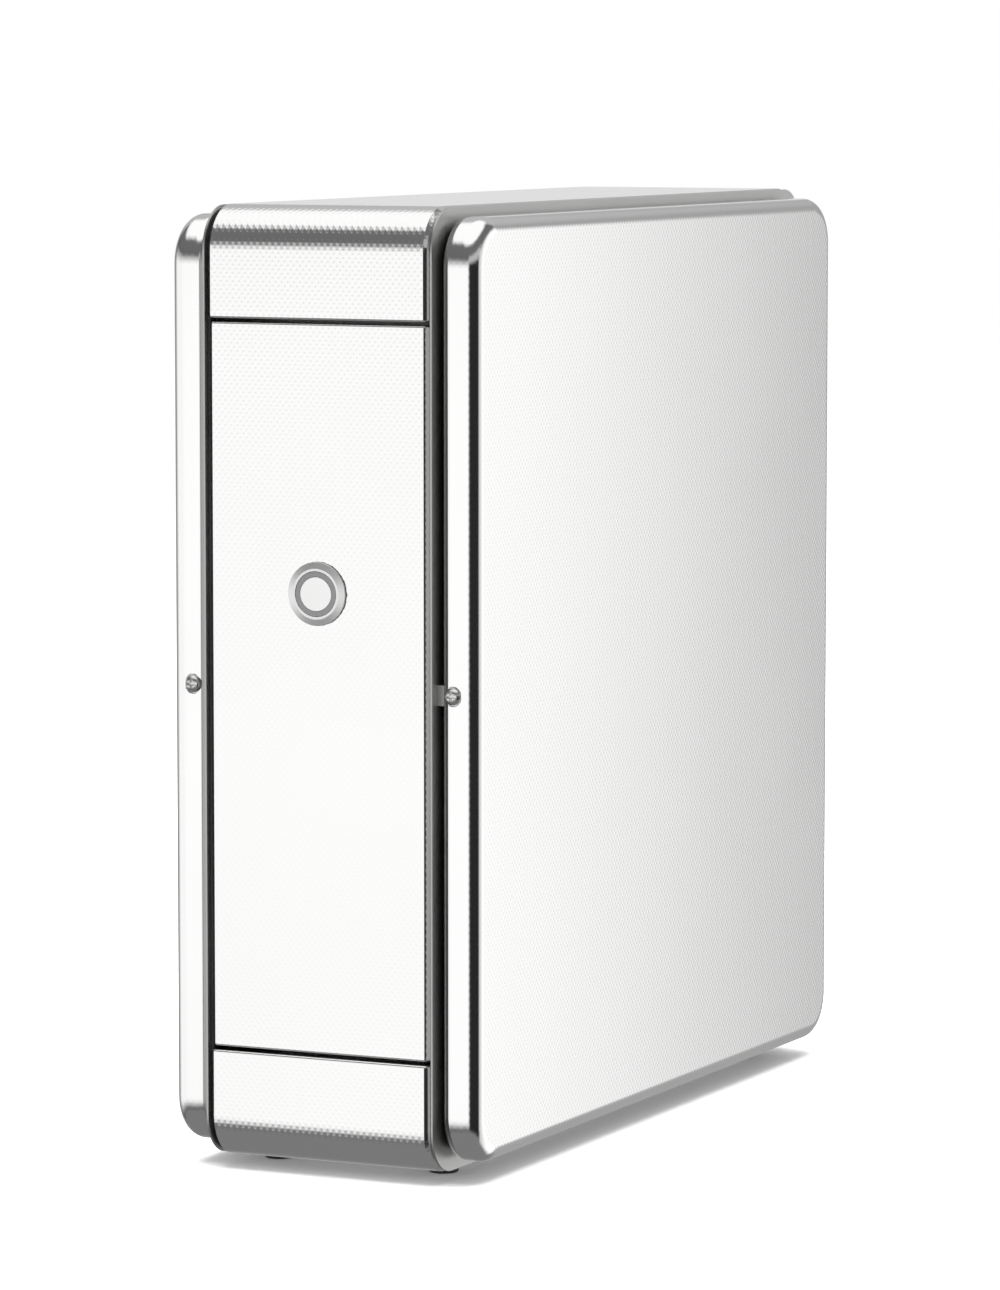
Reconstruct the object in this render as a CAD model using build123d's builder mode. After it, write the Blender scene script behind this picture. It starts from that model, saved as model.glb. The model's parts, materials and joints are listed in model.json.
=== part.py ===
"""Slim UV tool steriliser: a folded stainless tower with a pull-out tool rack.

Millimetres, +Z up, the front faces -Y. The origin is on the floor, in the middle
of the whole cabinet's footprint.
"""

from build123d import *
import os
from math import sqrt

os.makedirs("parts", exist_ok=True)

# ---------------------------------------------------------------- driving sizes
# Body: a band of sheet wraps front, top, back and underside
body_width = 107.6
body_depth = 415.0
body_height = 423.0
band_radius = 20.0
sheet = 1.0
bend = 1.5
band_flange = 12.0
cap_drop = 49.5
seam_gap = 1.5
plate = 0.9
plate_gap = 1.1
plate_inset = 0.4
side_gasket_inset = 4.0
side_gasket_width = 5.0

# Side covers: dished shells screwed to tabs of the side plates
cover_gap = 1.4
cover_depth = 17.8
cover_sheet = 1.0
cover_inset = 4.5
cover_corner = 22.0
cover_edge = 7.5
cover_roll = 3.5
cover_screw_out = 7.8
dimple_depth = 0.9
dimple_radius = 4.6
tab_height = 9.0
tab_width = 14.0
tab_sheet = 1.5
tab_clear = 0.3

# M4 pan-head screw and nut, M3 rivet
m4_shank = 4.0
m4_hole = 4.4
m4_head = 8.0
m4_head_height = 3.0
m4_head_round = 2.4
m4_nut_flats = 7.0
m4_nut_height = 3.2
m4_tail = 1.0
rear_screw_tail = 2.0
thread_gap = 0.05
cross_width = 1.3
cross_span = 4.6
cross_depth = 1.8

# Feet
foot_height = 5.0
foot_radius = 7.0
foot_taper_radius = 6.5
foot_spacing_x = 82.0
foot_setback = 42.0
foot_bore_radius = 4.4
foot_web = 1.6

# Drawer front
panel_recess = 1.0
panel_side_gap = 0.3
panel_fold = 14.0
panel_corner = 2.2
liner_setback = 1.0
drawer_box_depth = 29.0
liner_sheet = 1.0
gasket_thickness = 3.0
gasket_width = 4.5
gasket_gap = 0.3
gasket_inset = 0.4

# Seal frame behind the drawer front
frame_sheet = 1.2
opening_side_land = 6.8
opening_end_land = 6.5
frame_overlap = 5.5
frame_fold = 10.0
frame_fold_inset = 60.5

# Tool rack
rack_hold = 64.0
rack_sheet = 1.2
rack_side_clear = 8.5
rack_end_clear = 4.0
rack_back_gap = 4.0
rack_stop_height = 7.0
rack_stop_gap = 0.3
tray_count = 4
tray_floor_drop = 4.0
tray_height = 12.0
tray_sheet = 1.0
tray_gap = 0.4
tray_end_gap = 1.0
tray_corner = 3.0
tray_slot_length = 22.0
tray_slot_width = 5.0
tray_slot_columns = 2
tray_slot_pitch_x = 32.0
tray_slot_pitch_y = 14.0
tray_slot_margin = 6.0
ledge_width = 8.0
ledge_back_gap = 0.2
rack_window_margin = 24.0
rack_window_radius = 8.0
rack_window_frame = 12.0

# Slides
channel_height = 24.0
channel_depth = 14.9
channel_wall = 1.2
channel_slot = 14.0
channel_setback = 1.5
channel_end_gap = 2.0
slide_inset = 14.0
glide_thickness = 1.1
glide_gap = 0.1
glide_width = 5.0
rail_back_gap = 7.5
rail_head_thickness = 3.2
rail_stem_height = 10.0
rail_rear_setback = 4.0

# Lamps, T5 8 W
lamp_radius = 8.0
lamp_wall = 0.8
lamp_glass_length = 268.3
lamp_cap_length = 10.0
lamp_pin_radius = 1.2
lamp_pin_length = 7.0
lamp_pin_spacing = 5.0
lamp_standoff = 9.0
holder_width = 18.0
holder_height = 20.0
holder_gap = 0.3
pin_gap = 0.05
window_width = 50.0
window_end_lap = 10.15
reflector_sheet = 0.4
reflector_gap = 0.3
reflector_mouth = 68.0
reflector_back = 26.0
reflector_foot = 6.0

# Bulkhead and what it carries
bay_gap = 1.0
bulkhead_sheet = 1.2
bulkhead_fold = 12.0
bulkhead_fold_inset = 61.5
latch_radius = 8.0
latch_length = 36.0
latch_flange_width = 26.0
latch_flange_height = 34.0
latch_flange_thickness = 2.0
latch_wall = 2.0
plunger_radius = 3.5
plunger_tip_radius = 4.8
plunger_tip_thickness = 2.0
plunger_gap = 0.05
plunger_travel = 3.0
plunger_rest_gap = 0.3
latch_hole_radius = 5.6
latch_spring_wire = 0.35
strike_thickness = 1.5
strike_width = 20.0
strike_height = 28.0
switch_drop = 60.0
switch_width = 12.0
switch_height = 24.0
switch_depth = 16.0
switch_plunger_radius = 1.5
switch_travel = 1.5
switch_plunger_length = 11.0
switch_hole_radius = 2.2
dock_side = 29.5
dock_rise = 14.0
dock_width = 16.0
dock_height = 12.0
dock_plug_depth = 3.0
dock_socket_proud = 0.7
dock_socket_depth = 14.0
dock_contact_radius = 1.0
dock_contact_pitch = 3.6
dock_contacts = 4

# Electrics in the rear bay
ballast_length = 160.0
ballast_width = 40.0
ballast_height = 28.0
ballast_round = 2.0
ballast_rise = 150.0
ballast_setback = 2.0
board_width = 46.0
board_height = 100.0
board_thickness = 1.6
board_rise = 190.0
standoff_length = 9.1
standoff_radius = 3.0
standoff_margin = 5.0
relay_reach = 16.0
relay_width = 15.0
relay_height = 19.0
relay_rise = 25.0
transformer_reach = 19.0
transformer_width = 24.0
transformer_height = 26.0
transformer_rise = 60.0
capacitor_radius = 5.0
capacitor_length = 16.0
capacitor_rise = 86.0
capacitor_spacing = 23.0
terminal_reach = 12.0
terminal_length = 44.0
terminal_height = 12.0
terminal_rise = 150.0
terminal_screws = 6
terminal_screw_radius = 2.2
terminal_screw_depth = 2.0

# Mains inlet
inlet_rise = 95.0
inlet_flange = 2.5
inlet_flange_width = 50.0
inlet_flange_height = 28.0
inlet_body_width = 28.0
inlet_body_height = 20.5
inlet_body_depth = 21.0
inlet_body_gap = 0.3
inlet_mouth_width = 24.4
inlet_mouth_height = 16.6
inlet_mouth_depth = 18.0
inlet_mouth_chamfer = 4.0
inlet_pin_length = 12.6
inlet_pin_width = 2.0
inlet_pin_height = 4.0
inlet_pin_spacing = 7.0
inlet_pin_drop = 2.0
inlet_tail = 8.0
inlet_rivet_spacing = 40.0
rivet_radius = 1.6
rivet_head_radius = 2.9
rivet_head_height = 0.9
rivet_bulb_length = 2.0
vent_count = 9
vent_length = 64.0
vent_height = 3.6
vent_pitch = 9.0
vent_drop = 70.0
rear_screw_inset = 50.0
rear_screw_clear = 0.9
rear_panel_fold = 18.0

# Push button, 25 mm thread with a 28 mm head
button_rise = 42.6
bezel_radius = 14.0
bezel_flange = 1.5
bezel_gasket = 0.5
bezel_gasket_radius = 13.4
bezel_thread_radius = 12.5
bezel_hole_gap = 0.1
bezel_length = 18.0
bezel_slope = 1.0
bezel_face_radius = 11.1
bezel_bore_radius = 9.95
bezel_seat_depth = 12.0
bezel_stem_radius = 5.0
lens_gap = 0.05
lens_recess = 0.1
lens_depth = 5.0
cap_radius = 7.6
cap_dome = 0.2
cap_stem_radius = 4.95
cap_stem_length = 10.0
button_spring_wire = 0.5
nut_flats = 30.0
nut_height = 4.0
switch_body_radius = 11.0
switch_body_length = 5.0
blade_width = 2.8
blade_thickness = 0.6
blade_length = 4.0
blade_pitch = 6.0

# Wires
wire_radius = 1.25
wire_bend = 5.0
wire_hole_radius = 5.0
wire_hole_setback = 6.0
wire_standoff = 8.0
wire_depth = 6.0
cable_bend = 3.0
cable_drop = 50.0
cable_clear = 0.2

# ---------------------------------------------------------------- derived places
half_width = body_width / 2
plate_inner = half_width + plate_gap
plate_outer = plate_inner + plate
cover_start = plate_outer + cover_gap
button_reach = bezel_flange + bezel_gasket - panel_recess
front = (button_reach - body_depth - inlet_flange) / 2
rear = front + body_depth
mid_y = front + body_depth / 2
base = foot_height
top = base + body_height
mid_z = base + body_height / 2

panel_low = base + cap_drop + seam_gap
panel_high = top - cap_drop - seam_gap
panel_height = panel_high - panel_low
panel_front = front + panel_recess
panel_half = half_width - panel_side_gap
liner_half = panel_half - sheet
liner_half_height = panel_height / 2 - sheet
liner_back = panel_front + drawer_box_depth

frame_front = liner_back + gasket_thickness + gasket_gap
frame_back = frame_front + frame_sheet
opening_half = half_width - opening_side_land
opening_half_height = panel_height / 2 - opening_end_land

rack_half = opening_half - rack_side_clear
rack_half_height = opening_half_height - rack_end_clear
rack_inner = rack_half - rack_sheet
bay_depth = bulkhead_fold + board_width + rear_panel_fold + bay_gap
bulkhead_front = rear - bay_depth
rack_end = bulkhead_front - rack_back_gap
rack_length = rack_end - liner_back
rack_mid_y = liner_back + rack_length / 2
rack_travel = rack_length - rack_hold
rack_low = mid_z - rack_half_height

bulkhead_back = bulkhead_front + bulkhead_sheet
bay_front = bulkhead_front + bulkhead_fold

lamp_x = plate_outer + lamp_standoff
lamp_y = rack_mid_y
lamp_half = lamp_glass_length / 2 + lamp_cap_length
window_height = lamp_glass_length - 2 * window_end_lap
holder_mid = lamp_half + holder_gap + holder_height / 2
holder_zs = (mid_z - holder_mid, mid_z + holder_mid)
wire_hole_y = bay_front + wire_hole_setback

button_z = mid_z + button_rise
bezel_front = panel_front - bezel_flange - bezel_gasket


# ---------------------------------------------------------------- shared shapes
def body_slice(inset, z_low, z_high, seam_group):
    """Solid slice of the rounded body, its walls moved in by inset and its edges bent round."""
    half = half_width - inset
    with BuildPart() as block:
        with BuildSketch(Plane.YZ.offset(-half)):
            with Locations((mid_y, mid_z)):
                RectangleRounded(body_depth - 2 * inset, body_height - 2 * inset, band_radius - inset)
            with Locations((mid_y, (z_low + z_high) / 2)):
                Rectangle(body_depth, z_high - z_low, mode=Mode.INTERSECT)
        extrude(amount=2 * half)
        rims = block.faces().filter_by(Axis.X).edges()
        seams = block.edges().filter_by(Axis.X).group_by(Axis.Z)[seam_group]
        fillet(rims + seams, bend - inset)
    return block.part


def band_cap(z_low, z_high, seam_group, inner_low, inner_high):
    """One end of the band: folded sheet with side flanges and a lip along each seam."""
    with BuildPart() as cap:
        add(body_slice(0, z_low, z_high, seam_group))
        add(body_slice(sheet, inner_low, inner_high, seam_group), mode=Mode.SUBTRACT)
        with BuildSketch(Plane.YZ.offset(-half_width)):
            with Locations((mid_y, mid_z)):
                RectangleRounded(
                    body_depth - 2 * band_flange, body_height - 2 * band_flange, band_radius - band_flange
                )
        extrude(amount=body_width, mode=Mode.SUBTRACT)
    return cap.part


def pillow(plane, width, height, depth, corner, edge):
    """Rounded block that starts on plane with a bent-round rim."""
    with BuildPart() as block:
        with BuildSketch(plane):
            RectangleRounded(width, height, corner)
        extrude(amount=depth)
        fillet(block.faces().sort_by(Axis(plane.origin, plane.z_dir))[0].edges(), edge)
    return block.part


def folded_tray(plane, width, height, depth, corner, thickness):
    """Sheet tray with its face on plane and four sides folded along the plane's normal."""
    with BuildPart() as tray:
        add(pillow(plane, width, height, depth, corner, bend))
        add(
            pillow(
                plane.offset(thickness),
                width - 2 * thickness,
                height - 2 * thickness,
                depth,
                corner - thickness,
                bend - thickness,
            ),
            mode=Mode.SUBTRACT,
        )
    return tray.part


def cover_form(shrink):
    """Dished form of the right cover, its walls moved in by shrink: inner and outer edges rounded."""
    rim = cover_inset + shrink
    with BuildPart() as form:
        with BuildSketch(Plane.YZ.offset(cover_start + shrink)):
            with Locations((mid_y, mid_z)):
                RectangleRounded(body_depth - 2 * rim, body_height - 2 * rim, cover_corner - shrink)
        extrude(amount=cover_depth - 2 * shrink)
        fillet(form.faces().sort_by(Axis.X)[-1].edges(), cover_edge - shrink)
        fillet(form.faces().sort_by(Axis.X)[0].edges(), cover_roll - shrink)
    return form.part


def pan_screw(length):
    """M4 pan-head screw along +Z: the head stands on Z = 0, the shank runs down."""
    with BuildPart() as screw:
        Cylinder(m4_head / 2, m4_head_height, align=(Align.CENTER, Align.CENTER, Align.MIN))
        fillet(screw.edges().group_by(Axis.Z)[-1], m4_head_round)
        with Locations((0, 0, m4_head_height)):
            slot_align = (Align.CENTER, Align.CENTER, Align.MAX)
            Box(cross_span, cross_width, cross_depth, align=slot_align, mode=Mode.SUBTRACT)
            Box(cross_width, cross_span, cross_depth, align=slot_align, mode=Mode.SUBTRACT)
        Cylinder(m4_shank / 2, length, align=(Align.CENTER, Align.CENTER, Align.MAX))
    return screw.part


def hex_nut(flats, height, bore):
    """Hexagon nut that stands on Z = 0, with its bore along Z."""
    with BuildPart() as nut:
        with BuildSketch():
            RegularPolygon(flats / 2, 6, major_radius=False)
            Circle(bore, mode=Mode.SUBTRACT)
        extrude(amount=height)
    return nut.part


def blind_rivet(grip):
    """Domed rivet along +Z: the head stands on Z = 0, the shank runs down by grip and ends in a bulb."""
    with BuildPart() as rivet:
        Cylinder(rivet_head_radius, rivet_head_height, align=(Align.CENTER, Align.CENTER, Align.MIN))
        fillet(rivet.edges().group_by(Axis.Z)[-1], rivet_head_height / 2)
        Cylinder(rivet_radius, grip, align=(Align.CENTER, Align.CENTER, Align.MAX))
        with Locations((0, 0, -grip)):
            Cylinder(
                rivet_head_radius - rivet_head_height,
                rivet_bulb_length,
                align=(Align.CENTER, Align.CENTER, Align.MAX),
            )
    return rivet.part


def coil_spring(radius, wire, length, turns):
    """Compression spring along +Z from Z = 0."""
    path = Helix(length / turns, length - 2 * wire, radius)
    with BuildPart() as spring:
        with BuildLine():
            add(path)
        with BuildSketch(Plane(origin=path @ 0, z_dir=path % 0)):
            Circle(wire)
        sweep(is_frenet=True)
    with BuildPart() as seated:
        with Locations((0, 0, wire)):
            add(spring.part)
    return seated.part


def wire_run(points, radius, turn):
    """Round wire along straight runs joined by arcs."""
    with BuildPart() as wire:
        with BuildLine() as route:
            FilletPolyline(*points, radius=turn)
        with BuildSketch(Plane(origin=route.line @ 0, z_dir=route.line % 0)):
            Circle(radius)
        sweep()
    return wire.part


def toward(axis_angles, *places):
    """Locations at each place, turned so that +Z points along the wanted axis."""
    return Locations(*[Location(place, axis_angles) for place in places])


to_front = (90, 0, 0)
to_rear = (-90, 0, 0)
to_right = (0, 90, 0)
to_left = (0, -90, 0)
to_floor = (180, 0, 0)

# ---------------------------------------------------------------- feet
foot_x = foot_spacing_x / 2
foot_ys = (front + foot_setback, rear - foot_setback)
foot_places = [(side * foot_x, y) for side in (-1, 1) for y in foot_ys]

with BuildPart() as feet:
    with Locations(*[(x, y, 0) for x, y in foot_places]):
        Cone(foot_taper_radius, foot_radius, foot_height, align=(Align.CENTER, Align.CENTER, Align.MIN))
        Cylinder(
            foot_bore_radius,
            foot_height - foot_web,
            align=(Align.CENTER, Align.CENTER, Align.MIN),
            mode=Mode.SUBTRACT,
        )
        Cylinder(
            m4_hole / 2,
            foot_height,
            align=(Align.CENTER, Align.CENTER, Align.MIN),
            mode=Mode.SUBTRACT,
        )
feet.part.label = "feet"
export_step(feet.part, "parts/feet.step")

with BuildPart() as foot_screws:
    with toward(to_floor, *[(x, y, foot_height - foot_web) for x, y in foot_places]):
        add(pan_screw(foot_web + sheet + m4_nut_height + m4_tail))
foot_screws.part.label = "foot_screws"
export_step(foot_screws.part, "parts/foot_screws.step")

with BuildPart() as foot_nuts:
    with Locations(*[(x, y, base + sheet) for x, y in foot_places]):
        add(hex_nut(m4_nut_flats, m4_nut_height, m4_shank / 2 + thread_gap))
foot_nuts.part.label = "foot_nuts"
export_step(foot_nuts.part, "parts/foot_nuts.step")

# ---------------------------------------------------------------- band: caps and rear panel
seam_low = base + cap_drop
seam_high = top - cap_drop

with BuildPart() as top_cap:
    add(band_cap(seam_high, top, 0, seam_high + sheet, top))
top_cap.part.label = "top_cap"
export_step(top_cap.part, "parts/top_cap.step")

with BuildPart() as bottom_cap:
    add(band_cap(base, seam_low, -1, base, seam_low - sheet))
    with Locations(*[(x, y, base) for x, y in foot_places]):
        Cylinder(m4_hole / 2, 4 * sheet, mode=Mode.SUBTRACT)
bottom_cap.part.label = "bottom_cap"
export_step(bottom_cap.part, "parts/bottom_cap.step")

inlet_z = base + inlet_rise
rear_plane = Plane(origin=(0, rear, mid_z), x_dir=(1, 0, 0), z_dir=(0, -1, 0))
with BuildPart() as rear_panel:
    add(folded_tray(rear_plane, body_width, panel_height, rear_panel_fold, panel_corner, sheet))
    with Locations((0, rear, inlet_z)):
        Box(
            inlet_body_width + 2 * inlet_body_gap,
            4 * sheet,
            inlet_body_height + 2 * inlet_body_gap,
            mode=Mode.SUBTRACT,
        )
    with toward(to_rear, *[(side * inlet_rivet_spacing / 2, rear, inlet_z) for side in (-1, 1)]):
        Cylinder(rivet_radius, 4 * sheet, mode=Mode.SUBTRACT)
    vent_top = panel_high - vent_drop
    with BuildSketch(Plane(origin=(0, rear, 0), x_dir=(1, 0, 0), z_dir=(0, -1, 0))):
        with Locations(*[(0, vent_top - k * vent_pitch) for k in range(vent_count)]):
            SlotOverall(vent_length, vent_height)
    extrude(amount=2 * sheet, both=True, mode=Mode.SUBTRACT)
    rear_screw_zs = (panel_low + rear_screw_inset, panel_high - rear_screw_inset)
    rear_screw_y = rear - cover_inset - cover_roll - m4_head / 2 - rear_screw_clear
    with toward(to_right, *[(0, rear_screw_y, z) for z in rear_screw_zs]):
        Cylinder(m4_hole / 2, 2 * body_width, mode=Mode.SUBTRACT)
rear_panel.part.label = "rear_panel"
export_step(rear_panel.part, "parts/rear_panel.step")

# ---------------------------------------------------------------- side plates with cover tabs
screw_x = plate_outer + cover_screw_out
screw_z = mid_z
rim_front = front + cover_inset
rim_rear = rear - cover_inset
tab_front = rim_front + cover_sheet + dimple_depth
tab_rear = rim_rear - cover_sheet - dimple_depth

with BuildPart() as side_plate_right:
    with BuildSketch(Plane.YZ.offset(plate_inner)):
        with Locations((mid_y, mid_z)):
            RectangleRounded(
                body_depth - 2 * plate_inset, body_height - 2 * plate_inset, band_radius - plate_inset
            )
        with Locations((lamp_y, mid_z)):
            RectangleRounded(window_width, window_height, tray_corner, mode=Mode.SUBTRACT)
        with Locations(*[(rear_screw_y, z) for z in rear_screw_zs]):
            Circle(m4_hole / 2, mode=Mode.SUBTRACT)
        with Locations(*[(wire_hole_y, z) for z in holder_zs]):
            Circle(wire_hole_radius, mode=Mode.SUBTRACT)
    extrude(amount=plate)
    for tab_y, inward in ((tab_front, 1), (tab_rear, -1)):
        with Locations((plate_outer, tab_y, screw_z)):
            Box(
                tab_width,
                tab_sheet,
                tab_height,
                align=(Align.MIN, Align.MIN if inward > 0 else Align.MAX, Align.CENTER),
            )
            Box(
                tab_sheet,
                tab_width,
                tab_height,
                align=(Align.MIN, Align.MIN if inward > 0 else Align.MAX, Align.CENTER),
            )
        with toward(to_front, (screw_x, tab_y, screw_z)):
            Cylinder(m4_hole / 2, 4 * tab_sheet, mode=Mode.SUBTRACT)
side_plate_right.part.label = "side_plate_right"
export_step(side_plate_right.part, "parts/side_plate_right.step")

with BuildPart() as side_plate_left:
    mirror(side_plate_right.part, about=Plane.YZ)
side_plate_left.part.label = "side_plate_left"
export_step(side_plate_left.part, "parts/side_plate_left.step")

gasket_outer = side_gasket_inset
gasket_inner = side_gasket_inset + side_gasket_width
with BuildPart() as side_gaskets:
    with BuildSketch(Plane.YZ.offset(half_width)):
        with Locations((mid_y, mid_z)):
            RectangleRounded(
                body_depth - 2 * gasket_outer, body_height - 2 * gasket_outer, band_radius - gasket_outer
            )
            RectangleRounded(
                body_depth - 2 * gasket_inner,
                body_height - 2 * gasket_inner,
                band_radius - gasket_inner,
                mode=Mode.SUBTRACT,
            )
    extrude(amount=plate_gap)
    mirror(about=Plane.YZ)
side_gaskets.part.label = "side_gaskets"
export_step(side_gaskets.part, "parts/side_gaskets.step")

# ---------------------------------------------------------------- side covers
with BuildPart() as cover_right:
    add(cover_form(0))
    add(cover_form(cover_sheet), mode=Mode.SUBTRACT)
    mouth_inset = cover_inset + cover_roll
    with BuildSketch(Plane.YZ.offset(cover_start)):
        with Locations((mid_y, mid_z)):
            RectangleRounded(
                body_depth - 2 * mouth_inset, body_height - 2 * mouth_inset, cover_corner - cover_roll
            )
    extrude(amount=cover_roll, mode=Mode.SUBTRACT)
    for tab_y, inward in ((tab_front, 1), (tab_rear, -1)):
        with Locations((cover_start, tab_y - inward * tab_clear, screw_z)):
            Box(
                cover_roll,
                2 * cover_roll,
                tab_height + 2 * tab_clear,
                align=(Align.MIN, Align.MIN if inward > 0 else Align.MAX, Align.CENTER),
                mode=Mode.SUBTRACT,
            )
    for rim_y, inward in ((rim_front, 1), (rim_rear, -1)):
        seat = (Align.CENTER, Align.CENTER, Align.MIN)
        into_cover = to_rear if inward > 0 else to_front
        with toward(into_cover, (screw_x, rim_y + inward * dimple_depth, screw_z)):
            Cylinder(dimple_radius, cover_sheet, align=seat)
        with toward(into_cover, (screw_x, rim_y - inward * cover_sheet, screw_z)):
            Cylinder(
                dimple_radius - cover_sheet / 2,
                cover_sheet + dimple_depth,
                align=seat,
                mode=Mode.SUBTRACT,
            )
            Cylinder(m4_hole / 2, 4 * cover_sheet, align=seat, mode=Mode.SUBTRACT)
cover_right.part.label = "cover_right"
export_step(cover_right.part, "parts/cover_right.step")

with BuildPart() as cover_left:
    mirror(cover_right.part, about=Plane.YZ)
cover_left.part.label = "cover_left"
export_step(cover_left.part, "parts/cover_left.step")

head_front = rim_front + dimple_depth
head_rear = rim_rear - dimple_depth
cover_screw_length = cover_sheet + tab_sheet + m4_nut_height + m4_tail
with BuildPart() as cover_screws:
    with toward(to_front, *[(side * screw_x, head_front, screw_z) for side in (-1, 1)]):
        add(pan_screw(cover_screw_length))
    with toward(to_rear, *[(side * screw_x, head_rear, screw_z) for side in (-1, 1)]):
        add(pan_screw(cover_screw_length))
cover_screws.part.label = "cover_screws"
export_step(cover_screws.part, "parts/cover_screws.step")

with BuildPart() as cover_nuts:
    with toward(to_rear, *[(side * screw_x, tab_front + tab_sheet, screw_z) for side in (-1, 1)]):
        add(hex_nut(m4_nut_flats, m4_nut_height, m4_shank / 2 + thread_gap))
    with toward(to_front, *[(side * screw_x, tab_rear - tab_sheet, screw_z) for side in (-1, 1)]):
        add(hex_nut(m4_nut_flats, m4_nut_height, m4_shank / 2 + thread_gap))
cover_nuts.part.label = "cover_nuts"
export_step(cover_nuts.part, "parts/cover_nuts.step")

with BuildPart() as rear_screws:
    with toward(to_right, *[(plate_outer, rear_screw_y, z) for z in rear_screw_zs]):
        add(pan_screw(plate + plate_gap + sheet + rear_screw_tail))
    with toward(to_left, *[(-plate_outer, rear_screw_y, z) for z in rear_screw_zs]):
        add(pan_screw(plate + plate_gap + sheet + rear_screw_tail))
rear_screws.part.label = "rear_screws"
export_step(rear_screws.part, "parts/rear_screws.step")

# ---------------------------------------------------------------- seal frame and slides
with BuildPart() as seal_frame:
    with BuildSketch(Plane(origin=(0, frame_front, mid_z), x_dir=(1, 0, 0), z_dir=(0, 1, 0))):
        Rectangle(2 * plate_inner, panel_height + 2 * frame_overlap)
        RectangleRounded(2 * opening_half, 2 * opening_half_height, tray_corner, mode=Mode.SUBTRACT)
    extrude(amount=frame_sheet)
    for side in (-1, 1):
        with Locations((side * plate_inner, frame_front, mid_z)):
            Box(
                frame_sheet,
                frame_fold,
                panel_height - 2 * frame_fold_inset,
                align=(Align.MAX if side > 0 else Align.MIN, Align.MIN, Align.CENTER),
            )
seal_frame.part.label = "seal_frame"
export_step(seal_frame.part, "parts/seal_frame.step")

channel_front = frame_back + channel_setback
channel_inner = plate_inner - channel_depth
channel_length = bulkhead_front - channel_end_gap - channel_front
slide_rise = opening_half_height - slide_inset
slide_zs = (mid_z - slide_rise, mid_z + slide_rise)
glide_reach = channel_height / 2 - channel_wall
head_outer = plate_inner - channel_wall - rail_back_gap
head_inner = head_outer - rail_head_thickness
head_half = glide_reach - glide_thickness - glide_gap

with BuildPart() as slide_channels:
    with BuildSketch(Plane.XZ.offset(-channel_front)):
        for z in slide_zs:
            with Locations((plate_inner, z)):
                Rectangle(channel_depth, channel_height, align=(Align.MAX, Align.CENTER))
            with Locations((plate_inner - channel_wall, z)):
                Rectangle(
                    channel_depth - 2 * channel_wall,
                    2 * glide_reach,
                    align=(Align.MAX, Align.CENTER),
                    mode=Mode.SUBTRACT,
                )
            with Locations((channel_inner, z)):
                Rectangle(
                    channel_wall, channel_slot, align=(Align.MIN, Align.CENTER), mode=Mode.SUBTRACT
                )
    extrude(amount=-channel_length)
    mirror(about=Plane.YZ)
slide_channels.part.label = "slide_channels"
export_step(slide_channels.part, "parts/slide_channels.step")

glide_inner = channel_inner + channel_wall
with BuildPart() as slide_glides:
    with BuildSketch(Plane.XZ.offset(-channel_front)):
        for z in slide_zs:
            for end in (-1, 1):
                with Locations((glide_inner, z + end * (glide_reach - glide_thickness / 2))):
                    Rectangle(glide_width, glide_thickness, align=(Align.MIN, Align.CENTER))
    extrude(amount=-channel_length)
    mirror(about=Plane.YZ)
slide_glides.part.label = "slide_glides"
export_step(slide_glides.part, "parts/slide_glides.step")

with BuildPart() as rack_rails:
    with BuildSketch(Plane.XZ.offset(-liner_back)):
        for z in slide_zs:
            with Locations((rack_half, z)):
                Rectangle(head_inner - rack_half, rail_stem_height, align=(Align.MIN, Align.CENTER))
            with Locations((head_inner, z)):
                Rectangle(rail_head_thickness, 2 * head_half, align=(Align.MIN, Align.CENTER))
    extrude(amount=-(rack_length - rail_rear_setback))
    mirror(about=Plane.YZ)
rack_rails.part.label = "rack_rails"
export_step(rack_rails.part, "parts/rack_rails.step")

# ---------------------------------------------------------------- lamps
with BuildPart() as lamp_tubes:
    with Locations(*[(side * lamp_x, lamp_y, mid_z) for side in (-1, 1)]):
        Cylinder(lamp_radius, lamp_glass_length)
        Cylinder(lamp_radius - lamp_wall, lamp_glass_length, mode=Mode.SUBTRACT)
lamp_tubes.part.label = "lamp_tubes"
export_step(lamp_tubes.part, "parts/lamp_tubes.step")

with BuildPart() as lamp_caps:
    for side in (-1, 1):
        for end in (-1, 1):
            with Locations((side * lamp_x, lamp_y, mid_z + end * (lamp_half - lamp_cap_length / 2))):
                Cylinder(lamp_radius, lamp_cap_length)
lamp_caps.part.label = "lamp_caps"
export_step(lamp_caps.part, "parts/lamp_caps.step")

pin_places = [
    (side * lamp_x, lamp_y + along * lamp_pin_spacing / 2, mid_z + end * (lamp_half + lamp_pin_length / 2))
    for side in (-1, 1)
    for end in (-1, 1)
    for along in (-1, 1)
]
with BuildPart() as lamp_pins:
    with Locations(*pin_places):
        Cylinder(lamp_pin_radius, lamp_pin_length)
lamp_pins.part.label = "lamp_pins"
export_step(lamp_pins.part, "parts/lamp_pins.step")

with BuildPart() as lampholders:
    for side in (-1, 1):
        for end in (-1, 1):
            holder_start = mid_z + end * (lamp_half + holder_gap)
            holder_depth = lamp_standoff + lamp_radius
            with Locations((side * plate_outer, lamp_y, holder_start)):
                Box(
                    holder_depth,
                    holder_width,
                    holder_height,
                    align=(
                        Align.MIN if side > 0 else Align.MAX,
                        Align.CENTER,
                        Align.MIN if end > 0 else Align.MAX,
                    ),
                )
    with Locations(*pin_places):
        Cylinder(lamp_pin_radius + pin_gap, lamp_pin_length + 2 * pin_gap, mode=Mode.SUBTRACT)
lampholders.part.label = "lampholders"
export_step(lampholders.part, "parts/lampholders.step")

reflector_x = lamp_x + lamp_radius + reflector_gap
reflector_height = lamp_glass_length + 2 * lamp_cap_length - 2 * holder_gap


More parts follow.
